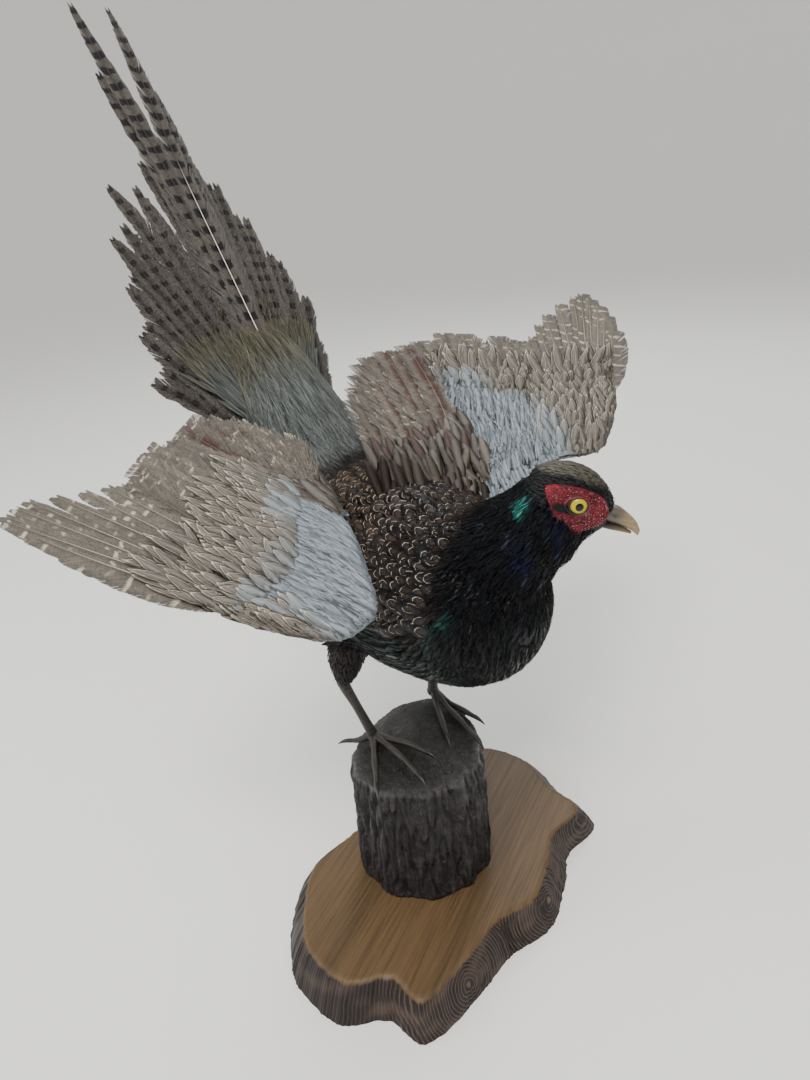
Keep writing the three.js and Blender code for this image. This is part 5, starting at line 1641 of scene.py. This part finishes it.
def eyes(context):
    """Glass domes set in the lids, each closed behind by a shallow cup."""
    settings = context.scene.pheasant_head
    for side, sign in SIDES.items():
        pole = unit(sign * HEAD_LEFT + 0.10 * HEAD_FORWARD + 0.04 * HEAD_UP)
        first = unit(np.cross(HEAD_UP, pole))
        second = np.cross(pole, first)
        rim_depth = math.sqrt(EYE_DOME**2 - EYE_RIM**2)
        base = in_head(0, sign * (EYE_SPREAD + 3.3), 0) - pole * rim_depth
        reach = math.asin(EYE_RIM / EYE_DOME)
        polar = np.linspace(0.01, 1, EYE_FRONT_RINGS) * reach
        front = np.stack([EYE_DOME * np.sin(polar), EYE_DOME * np.cos(polar)], -1)
        deep = rim_depth - np.linspace(0, 1, EYE_BACK_RINGS) ** 0.6 * 3.5
        back = np.stack([np.linspace(EYE_RIM, 0.6, EYE_BACK_RINGS), deep], -1)[1:]
        rows = np.vstack([front, back])
        along = np.concatenate([np.linspace(0, 0.5, EYE_FRONT_RINGS),
                                np.linspace(0.5, 1, EYE_BACK_RINGS)[1:]])
        turn = turns(48)
        ring = circle(turn) @ [first, second]
        points = base + rows[:, 1, None, None] * pole + rows[:, 0, None, None] * ring[None]
        v, u = np.meshgrid(along, turn / math.tau, indexing="ij")
        vane = np.vstack([np.stack([u, v], -1).reshape(-1, 2), [0.5, 0], [0.5, 1]])
        flat = 0.5 + 0.48 * v[..., None] * circle(u * math.tau)
        bake = np.vstack([flat.reshape(-1, 2), [0.5, 0.5], [0.98, 0.5]])
        eye = loft_object(f"glass_eye_{side}", points, {"OFBake": bake, "Vane": vane})
        finish_piece(eye, iris_finish(settings.iris), [f"eye_{side}"])


def eyelids(context):
    """Fleshy rings round the eyes, drawn out behind into a dark slot."""
    settings = context.scene.pheasant_head
    turn, around = turns(LID_RINGS), turns(LID_POINTS)
    for side, sign in SIDES.items():
        for name, wide, girth, lift, drawn, tone in (
            ("lid", 5.35, 0.55, 0.75, 0.5, np.array([0.012, 0.008, 0.008])),
            ("fold", 6.25, 0.6, 0.7, 1.8, np.array(settings.wattle) * 0.7),
        ):
            x = np.cos(turn) * wide - drawn * np.clip(-np.cos(turn), 0, 1) ** 3
            y = np.sin(turn) * wide * 0.88 - 0.25 * np.clip(-np.cos(turn), 0, 1) ** 2 * drawn
            middle = wattle_place(sign, x, y, lift)
            out = unit(wattle_place(sign, x, y, lift + 1) - middle)
            away = unit(np.stack([x, y], -1))
            radial = away[:, :1] * HEAD_FORWARD + away[:, 1:] * HEAD_UP
            rings = (middle[:, None] + girth * np.cos(around)[None, :, None] * radial[:, None]
                     + girth * np.sin(around)[None, :, None] * out[:, None])
            faces = ring_faces(LID_RINGS + 1, LID_POINTS) % (LID_RINGS * LID_POINTS)
            folds = [0.02 + 0.96 * np.abs(2 * np.arange(n) / n - 1) for n in (LID_RINGS, LID_POINTS)]
            bake = {"OFBake": np.stack(np.meshgrid(*folds, indexing="ij"), -1)}
            dark = smoothstep(0.2, 0.6, slot_share(x, y))[:, None] * np.ones(LID_POINTS)
            tint = mix(tone * (1 + 0.3 * ripple(rings, 1.5, 9))[..., None], (0.006, 0.004, 0.005), dark)
            obj = mesh_object(f"eye{name}_{side}", rings, faces, bake, tint)
            outward(obj)
            finish_piece(obj, plain_finish(f"eye {name} {side}", 0.45, 1400.0, 0.4))


BILL_RINGS, BILL_POINTS = 44, 40


def bill(context):
    settings = context.scene.pheasant_head
    base, tip = np.array(settings.horn), np.array(settings.horn_tip)
    turn = turns(BILL_POINTS)
    for name, stations, last in (("bill_upper", BILL_UPPER, 44.5), ("bill_lower", BILL_LOWER, 40)):
        rows = smooth_rows(stations, np.linspace(0, 1, BILL_RINGS))
        middle, tall = (rows[:, 1] + rows[:, 2]) / 2, (rows[:, 1] - rows[:, 2]) / 2
        along = np.broadcast_to(rows[:, 0:1], (BILL_RINGS, BILL_POINTS))
        share = (along - 18) / (last - 18)
        wide = rows[:, 3:4] * np.sign(np.cos(turn)) * np.abs(np.cos(turn)) ** 0.9
        up = middle[:, None] + tall[:, None] * np.sin(turn)
        if name == "bill_upper":
            nostril = np.exp(-(((along - 25.5) / 2.6) ** 2) - ((up + 3.0) / 0.9) ** 2)
            cere = smoothstep(24.5, 26.5, along - 0.35 * (up + 8))
            wide = wide * (1 - 0.16 * nostril + 0.05 * (1 - cere))
            tint = mix(base, tip, smoothstep(0.25, 0.8, share))
            tint = mix(tint, (0.02, 0.015, 0.012), nostril)
            edge = smoothstep(0.75, 0.98, -np.sin(turn))[None] * smoothstep(0.2, 0.4, share)
            tint = mix(tint, np.array(settings.horn) * 0.35, 0.7 * edge)
        else:
            tint = mix(base * 0.42, tip * 0.5, smoothstep(0.2, 0.9, share))
        tint = tint * (1 + 0.18 * ripple(np.stack([along * 0.5, up * 3, wide * 3], -1), 0.8, 7))[..., None]
        points = in_head(along, wide, up)
        obj = loft_object(name + "_horn", points, None, tint)
        finish_piece(obj, plain_finish(name.replace("_", " "), 0.38, 700.0, 0.25), [name])


# ---- Legs


def rim_height(angle):
    to_left = np.maximum(0, np.cos(angle - math.radians(112)))
    to_front = np.maximum(0, np.cos(angle + math.radians(35)))
    return STUMP_RIM_HEIGHT + STUMP_RIM_RISE * to_left**1.5 + 5 * to_front


def stump_top(x, y):
    share = np.minimum(1, np.hypot(x, y) / STUMP_RIM_RADIUS)
    middle, rim = STUMP_RIM_HEIGHT + 6, rim_height(np.arctan2(y, x))
    return middle + (rim - middle) * share**1.3 + STUMP_DOME * (1 - share**2)


def tube(path, radii, around, pattern=None, step=0.6):
    """Rings of points along a smooth path. pattern(along, turn) scales the radius."""
    rows = np.hstack([np.asarray(path, float), np.asarray(radii, float)[:, None]])
    fine = smooth_rows(rows, np.linspace(0, 1, 160))
    reach = reach_along(fine[:, :3])
    s = np.linspace(0, reach[-1], max(int(reach[-1] / step), 6))
    row = np.stack([np.interp(s, reach, fine[:, k]) for k in range(4)], -1)
    tangent = unit(np.gradient(row[:, :3], axis=0))
    wide = unit(LIMB_SIDE - tangent * (tangent @ LIMB_SIDE)[:, None])
    front = np.cross(tangent, wide)
    turn = turns(around)
    scale = np.ones((len(s), around)) if pattern is None else pattern(s[:, None], turn[None])
    flat = np.cos(turn)[None, :, None] * wide[:, None] + np.sin(turn)[None, :, None] * front[:, None]
    return row[:, None, :3] + flat * (row[:, 3:4] * scale)[..., None]


def toe_path(leg, toe):
    foot = np.array(leg["foot"], float)
    rows = []
    for share in (0, 0.35, 0.7, 1.0):
        x, y = foot[0] + (toe[0] - foot[0]) * share, foot[1] + (toe[1] - foot[1]) * share
        rest = stump_top(x, y) + TOE_RADIUS + 0.7
        rows.append([x, y, foot[2] + (rest - foot[2]) * min(1, share * 2.4)])
    return np.array(rows)


def scaled(scute, depth):
    """Overlapping plates down a limb, finer at the back."""
    def pattern(s, turn):
        plate = (s / scute) % 1.0
        fine = ((s + 0.5 * scute) / (scute * 0.6)) % 1.0
        front = smoothstep(-0.35, 0.25, np.abs(np.sin(turn)) - 0.45)
        bump = front * (1 - plate) ** 0.6 + (1 - front) * 0.6 * np.abs(np.sin(fine * math.pi + 3 * turn))
        return 1 + depth * (bump - 0.5)
    return pattern


def limb_piece(parts, name, finish, nodes, tint):
    """Lofts joined into one piece."""
    points, faces, bakes, tints, count = [], [], [], [], 0
    for index, rings in enumerate(parts):
        block, sides = ring_body(rings)
        flat = folded_map(*rings.shape[:2])
        flat[:, 0] = (index + flat[:, 0]) / len(parts)
        points.append(block)
        faces += [[corner + count for corner in side] for side in sides]
        bakes.append(flat)
        tints.append(np.array(tint) * (1 + 0.22 * ripple(block, 0.7, index))[:, None])
        count += len(block)
    obj = mesh_object(name, np.vstack(points), faces, {"OFBake": np.vstack(bakes)}, np.vstack(tints))
    return finish_piece(obj, finish, nodes)


def legs(context):
    settings = context.scene.pheasant_legs
    scute = settings.scute / MM
    finish = plain_finish("leg scales", 0.5, 900.0, 0.4)
    horn = plain_finish("claws", 0.35, 600.0, 0.2)
    for side, leg in LEGS.items():
        ankle, foot = np.array(leg["ankle"], float), np.array(leg["foot"], float)
        path = [ankle + [8, 0, 9], ankle, (ankle + foot) / 2, foot]
        radii = [3.0, SHANK_RADIUS + 1, SHANK_RADIUS, SHANK_RADIUS + 0.6]
        shank = tube(path, radii, 22, scaled(scute, 0.13))
        limb_piece([shank], f"shank_{side}", finish, [f"leg_{side}_shank"], settings.scale)
        turn, level = turns(22), np.linspace(-0.48, 0.48, 12) * math.pi
        ball = foot + [0, 0, -1] + (TOE_RADIUS + 2) * np.stack([
            np.cos(level)[:, None] * np.cos(turn), np.cos(level)[:, None] * np.sin(turn),
            np.sin(level)[:, None] * np.ones(22)], -1)
        toes, claws = [ball], []
        for toe in leg["toes"]:
            line = toe_path(leg, toe)
            radii = [TOE_RADIUS, TOE_RADIUS - 0.4, TOE_RADIUS - 0.6, TOE_RADIUS - 1.1]
            pads = scaled(scute * 0.75, 0.16)
            toes.append(tube(line, radii, 18, lambda s, t: pads(s, t) * (1 + 0.10 * np.sin(s / 4.2))))
            end, out = line[3], unit(line[3] - line[2])
            claw = []
            for d in (-0.5, 3, 6, 9, 12):
                p = end + out * d
                arch = 0.5 * math.sin(max(d, 0) / 12 * math.pi) - d * d / 60
                p[2] = max(p[2], stump_top(p[0], p[1]) + 1.4) + arch
                claw.append(p)
            claws.append(tube(claw, [1.8, 1.75, 1.45, 0.9, 0.25], 14, None, 0.5))
        limb_piece(toes, f"toes_{side}", finish, [f"leg_{side}_foot"], settings.scale)
        claw_nodes = [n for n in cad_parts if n.startswith(f"claw_{side}")]
        limb_piece(claws, f"claws_{side}", horn, claw_nodes, settings.claw)
        base = foot + (ankle - foot) * 0.42
        spur = tube([base + [-d, 0, d * 0.15] for d in (1, 5, 9, 13)], [2.6, 2.3, 1.5, 0.4], 14, None, 0.5)
        limb_piece([spur], f"spur_{side}_horn", horn, [f"leg_{side}_spur"], settings.claw)


# ---- Stand


def board(context):
    stand = context.scene.pheasant_stand
    count = 480
    outline = closed_curve([r * circle(math.radians(a)) for a, r in BOARD_LOBES], count)
    bearing = np.arctan2(outline[:, 1], outline[:, 0])
    away = unit(outline)
    heights = np.array([0, 0.4, 2, 4, 6, 8, 10, 12, 14, 16, 18, 20, 22, 24, 25.3, 26])
    spreads = np.interp(heights, [0, BOARD_THICKNESS * 0.55, BOARD_THICKNESS - 1.5, BOARD_THICKNESS],
                        [BOARD_FLARE, BOARD_FLARE * 0.5, 0.4, -1.5])
    ribs = stand.rib_depth / MM * (np.sin(bearing * 150 + 5 * np.sin(bearing * 17)) + np.sin(bearing * 61))
    swell = 1.6 * ripple(outline, 0.06, 2)
    char = np.array([0.010, 0.008, 0.009])
    rings, tints = [], []
    for z, spread in zip(heights, spreads):
        fade = smoothstep(BOARD_THICKNESS, BOARD_THICKNESS - 3, z) * smoothstep(0, 1, z + 0.4)
        offset = spread + ribs * fade + swell * smoothstep(24, 10, z)
        p = at_height(outline + away * offset[:, None], z)
        worn = smoothstep(-0.2, 1.4, ripple(p * [1, 1, 2.4], 0.09, 6))
        tints.append(mix(char, (0.05, 0.036, 0.03), worn))
        rings.append(p)
    for share in (0.97, 0.85, 0.6, 0.3):
        rings.append(at_height(rings[-1][:, :2] * share, BOARD_THICKNESS))
    rings.insert(0, at_height(rings[0][:, :2] * 0.5, 0.0))
    rings = np.array(rings)
    tints = np.array([tints[0], *tints, *tints[-1:] * 4])
    wall = len(heights) + 1
    level = np.broadcast_to(np.linspace(0, 1, wall)[:, None], (wall, count))
    round_edge = np.broadcast_to(bearing / math.tau + 0.5, (wall, count))
    bake = rings[..., :2] / 420 * [0.95, 0.68] + [0.495, 0.65]
    bake[:wall] = np.stack([round_edge * 0.98 + 0.01, level * 0.28 + 0.01], -1)
    bake = np.vstack([bake.reshape(-1, 2), [0.5, 0.01], [0.5, 0.65]])
    obj = loft_object("board", rings, {"OFBake": bake}, tints)
    sharpen(obj, 50)
    return finish_piece(obj, wood_finish(stand.wood, stand.wood_dark), ["stand_board"])


def sharpen(obj, degrees):
    """Faces that meet at more than this angle keep a crisp edge between them."""
    obj.data.set_sharp_from_angle(angle=math.radians(degrees))


def stump(context):
    stand = context.scene.pheasant_stand
    around, wall = 320, 59
    angle = turns(around)
    base = BOARD_THICKNESS + 0.3
    dark, light = np.array(stand.bark), np.array(stand.bark_light)
    depth = stand.ridge_depth / MM
    ridge = np.cos(11 * angle + 0.8 * np.sin(3 * angle))
    oval = 1.2 * np.cos(2 * angle + 1)
    rings, tints = [], []
    for share in np.concatenate([np.linspace(0, 0.985, wall - 1), [1.0]]):
        z = base + (rim_height(angle) - base) * share
        radius = np.interp(share, [0, 0.45, 0.86, 1.0],
                           [STUMP_RADIUS + 1.5, STUMP_RADIUS, STUMP_RADIUS - 0.5, STUMP_RIM_RADIUS])
        wave = np.stack([np.cos(angle) * 6.5, np.sin(angle) * 6.5, z / 30], -1)
        plate = ripple(wave * [2.2, 2.2, 1.6], 1.5, 12)
        furrow = np.exp(-(ripple(wave * [1.6, 1.6, 0.9], 2.2, 17) / 0.28) ** 2)
        fine = ripple(wave * [3, 3, 3.2], 2.2, 22)
        worn = smoothstep(0.93, 0.985, share)
        relief = (depth * (0.8 * plate - 1.7 * furrow) + 0.6 * fine) * (0.3 + 0.7 * smoothstep(0, 0.1, share))
        r = radius + 1.3 * ridge * (1 - 0.5 * (share > 0.99)) + oval + relief * (1 - 0.7 * worn)
        rings.append(at_height(r[:, None] * circle(angle), z))
        # painted highlights: the bark's ridges lighter than its furrows, and lighter still towards the top
        lit = smoothstep(0.3, 1.4, plate + 0.7 * fine - 1.2 * furrow)
        lit = lit * (0.45 + 0.3 * smoothstep(0.6, 0.95, share))
        # painted shade: the furrows darkened
        tone = mix(mix(dark, light, lit), dark * 0.4, 0.85 * furrow)
        # lighter rim: partly wear, partly a painted highlight on the rounded edge
        tints.append(mix(tone, light, worn * (0.6 + 0.35 * np.clip(fine, -1, 1))))
    # the top's own dark grey-green, kept dark partly as painted shadow of the bird above it
    top_ground = np.array([0.013, 0.014, 0.011])
    for share in (0.96, 0.9, 0.8, 0.66, 0.5, 0.34, 0.17):
        r = STUMP_RIM_RADIUS * share + (0.65 * ridge + oval) * smoothstep(0.8, 1.0, share)
        p = at_height(r[:, None] * circle(angle), 0.0)
        z = stump_top(p[:, 0], p[:, 1]) + 0.35 * ripple(p, 0.25, 3) * (share < 0.95)
        rings.append(at_height(p[:, :2], z))
        tone = mix(top_ground, (0.038, 0.037, 0.031), 0.5 * smoothstep(0, 1, ripple(p, 0.3, 5)))
        # painted highlight: the top's outer edge, where it rounds over into the rim, lightened
        tints.append(mix(tone, light * 0.6, smoothstep(0.86, 0.97, np.full(around, share))))
    rings = np.array(rings)
    bake = rings[..., :2] / 120 * [1.0, 0.42] + [0.5, 0.78]
    bake[:wall, :, 0] = 0.01 + 0.98 * angle / math.tau
    bake[:wall, :, 1] = np.linspace(0.01, 0.55, wall)[:, None]
    bake = np.vstack([bake.reshape(-1, 2), [0.5, 0.0], [0.5, 0.78]])
    obj = loft_object("stump", rings, {"OFBake": bake}, np.array(tints))
    return finish_piece(obj, bark_finish(), ["stand_stump"])


# ---- Stage


def area_light(name, place, size, watts, tint):
    data = bpy.data.lights.new(name, "AREA")
    data.shape, data.size, data.energy, data.color = "DISK", size, watts, tint
    obj = bpy.data.objects.new(name, data)
    bpy.context.scene.collection.objects.link(obj)
    obj.location = place
    obj.rotation_euler = (Vector(LIT_PLACE) - Vector(place)).to_track_quat("-Z", "Y").to_euler()


# The floor's radius and height where it sweeps up into a wall.
FLOOR_POINTS = 96
FLOOR_SWEEP = [(1, 0), (2800, 0), (3500, 60), (4150, 260), (4650, 640), (4930, 1200), (5000, 2000),
               (5000, 5200)]
# Each soft light's place and size in metres, its strength beside the key's, and its colour.
LIGHTS = {
    "key": ((0.75, -0.9, 1.8), 0.8, 1.0, (1.0, 0.97, 0.93)),
    "window": ((-0.9, -1.4, 1.2), 1.2, 0.3, (0.93, 0.97, 1.0)),
    "back": ((-1.0, 1.3, 1.7), 1.2, 0.45, (1.0, 1.0, 1.0)),
}
LIT_PLACE = (0, 0.02, 0.28)
SENSOR = 36
ROOM_TONE, ROOM_STRENGTH = (0.87, 0.87, 0.87, 1), 0.9


def studio(context):
    settings = context.scene.pheasant_stage
    rings = np.array([at_height(r * circle(turns(FLOOR_POINTS)), z) for r, z in FLOOR_SWEEP])
    floor = mesh_object("floor", rings, ring_faces(len(FLOOR_SWEEP), FLOOR_POINTS)[:, ::-1])
    finish = Finish("floor", Roughness=0.9)
    floor.data.materials.append(finish.set(Base_Color=settings.floor))
    for name, (place, size, share, tint) in LIGHTS.items():
        area_light(name, place, size, settings.key * share, tint)
    world = bpy.data.worlds.new("room")
    world.use_nodes = True
    room = world.node_tree.nodes["Background"].inputs
    room[0].default_value, room[1].default_value = ROOM_TONE, ROOM_STRENGTH
    context.scene.world = world
    camera = bpy.data.cameras.new("camera")
    camera.sensor_width = SENSOR
    camera.lens = settings.focal
    camera.clip_start = 0.01
    obj = bpy.data.objects.new("camera", camera)
    context.scene.collection.objects.link(obj)
    azimuth, pitch, roll = settings.azimuth, settings.pitch, settings.roll
    ahead = Vector((-math.sin(azimuth), math.cos(azimuth), -math.tan(pitch))).normalized()
    right = Vector((math.cos(azimuth), math.sin(azimuth), 0))
    above = right.cross(ahead)
    side = right * math.cos(roll) - above * math.sin(roll)
    up = side.cross(ahead)
    turn = Matrix((side, up, -ahead)).transposed()
    obj.matrix_world = Matrix.Translation(settings.camera_place) @ turn.to_4x4()
    context.scene.camera = obj


# ---- Operators


def flesh_of_scene():
    return Flesh(bpy.data.objects["skin"])


class PHEASANT_OT_skin(bpy.types.Operator):
    """Builds the one skin under all the plumage"""
    bl_idname = "pheasant.skin"
    bl_label = "Skin"

    def execute(self, context):
        skin(context)
        return {"FINISHED"}


class PHEASANT_OT_body_plumage(bpy.types.Operator):
    """Lays the breast, mantle, rump, neck and head feathers over the skin"""
    bl_idname = "pheasant.body_plumage"
    bl_label = "Body plumage"

    def execute(self, context):
        flesh = flesh_of_scene()
        breast_coat(context, flesh)
        mantle_coat(context, flesh)
        rump_coat(context, flesh)
        tail_covert_coat(context, flesh)
        neck_coat(context, flesh)
        head_coat(context, flesh)
        thigh_coats(context, flesh)
        return {"FINISHED"}


class PHEASANT_OT_head(bpy.types.Operator):
    """Builds the bare face, its papillae, the eyelids, glass eyes and bill"""
    bl_idname = "pheasant.head"
    bl_label = "Face, eyes and bill"

    def execute(self, context):
        face_pads(context)
        papillae(context)
        eyelids(context)
        eyes(context)
        bill(context)
        return {"FINISHED"}


class PHEASANT_OT_wings(bpy.types.Operator):
    """Builds the flight feathers and coverts of both wings"""
    bl_idname = "pheasant.wings"
    bl_label = "Wings"

    def execute(self, context):
        flesh = flesh_of_scene()
        for side in WINGS:
            flight_feathers(context, side)
            wing_coverts(context, flesh, side)
        scapulars(context, flesh)
        return {"FINISHED"}


class PHEASANT_OT_tail(bpy.types.Operator):
    """Builds the middle pairs and the two side fans of the tail"""
    bl_idname = "pheasant.tail"
    bl_label = "Tail"

    def execute(self, context):
        tail_feathers(context)
        return {"FINISHED"}


class PHEASANT_OT_legs(bpy.types.Operator):
    """Builds the scaled shanks and toes, the claws and the spurs"""
    bl_idname = "pheasant.legs"
    bl_label = "Legs"

    def execute(self, context):
        legs(context)
        return {"FINISHED"}


class PHEASANT_OT_stand(bpy.types.Operator):
    """Builds the live-edge board and the bark-covered stump"""
    bl_idname = "pheasant.stand"
    bl_label = "Stand"

    def execute(self, context):
        board(context)
        stump(context)
        return {"FINISHED"}


class PHEASANT_OT_stage(bpy.types.Operator):
    """Sets up the pale floor, the soft lights and the camera"""
    bl_idname = "pheasant.stage"
    bl_label = "Stage"

    def execute(self, context):
        studio(context)
        return {"FINISHED"}


OPERATORS = [
    PHEASANT_OT_skin, PHEASANT_OT_body_plumage, PHEASANT_OT_head, PHEASANT_OT_wings, PHEASANT_OT_tail,
    PHEASANT_OT_legs, PHEASANT_OT_stand, PHEASANT_OT_stage,
]


class PHEASANT_PT_panel(bpy.types.Panel):
    """Lists the settings and steps of the mounted pheasant"""
    bl_idname = "PHEASANT_PT_panel"
    bl_label = "Mounted pheasant"
    bl_space_type = "VIEW_3D"
    bl_region_type = "UI"
    bl_category = "Pheasant"

    def draw(self, context):
        layout = self.layout
        for name, group in SETTINGS.items():
            box = layout.box()
            box.label(text=name.split("_", 1)[1].capitalize())
            settings = getattr(context.scene, name)
            for key in group.__annotations__:
                box.prop(settings, key)
        for operator in OPERATORS:
            layout.operator(operator.bl_idname)


def register():
    for cls in [*SETTINGS.values(), *OPERATORS, PHEASANT_PT_panel]:
        bpy.utils.register_class(cls)
    for name, group in SETTINGS.items():
        setattr(bpy.types.Scene, name, PointerProperty(type=group))


def unregister():
    for name in SETTINGS:
        delattr(bpy.types.Scene, name)
    for cls in reversed([*SETTINGS.values(), *OPERATORS, PHEASANT_PT_panel]):
        bpy.utils.unregister_class(cls)


def main():
    register()
    bpy.ops.pheasant.skin()
    bpy.ops.pheasant.body_plumage()
    bpy.ops.pheasant.head()
    bpy.ops.pheasant.wings()
    bpy.ops.pheasant.tail()
    bpy.ops.pheasant.legs()
    bpy.ops.pheasant.stand()
    bpy.ops.pheasant.stage()


if __name__ == "__main__":
    main()
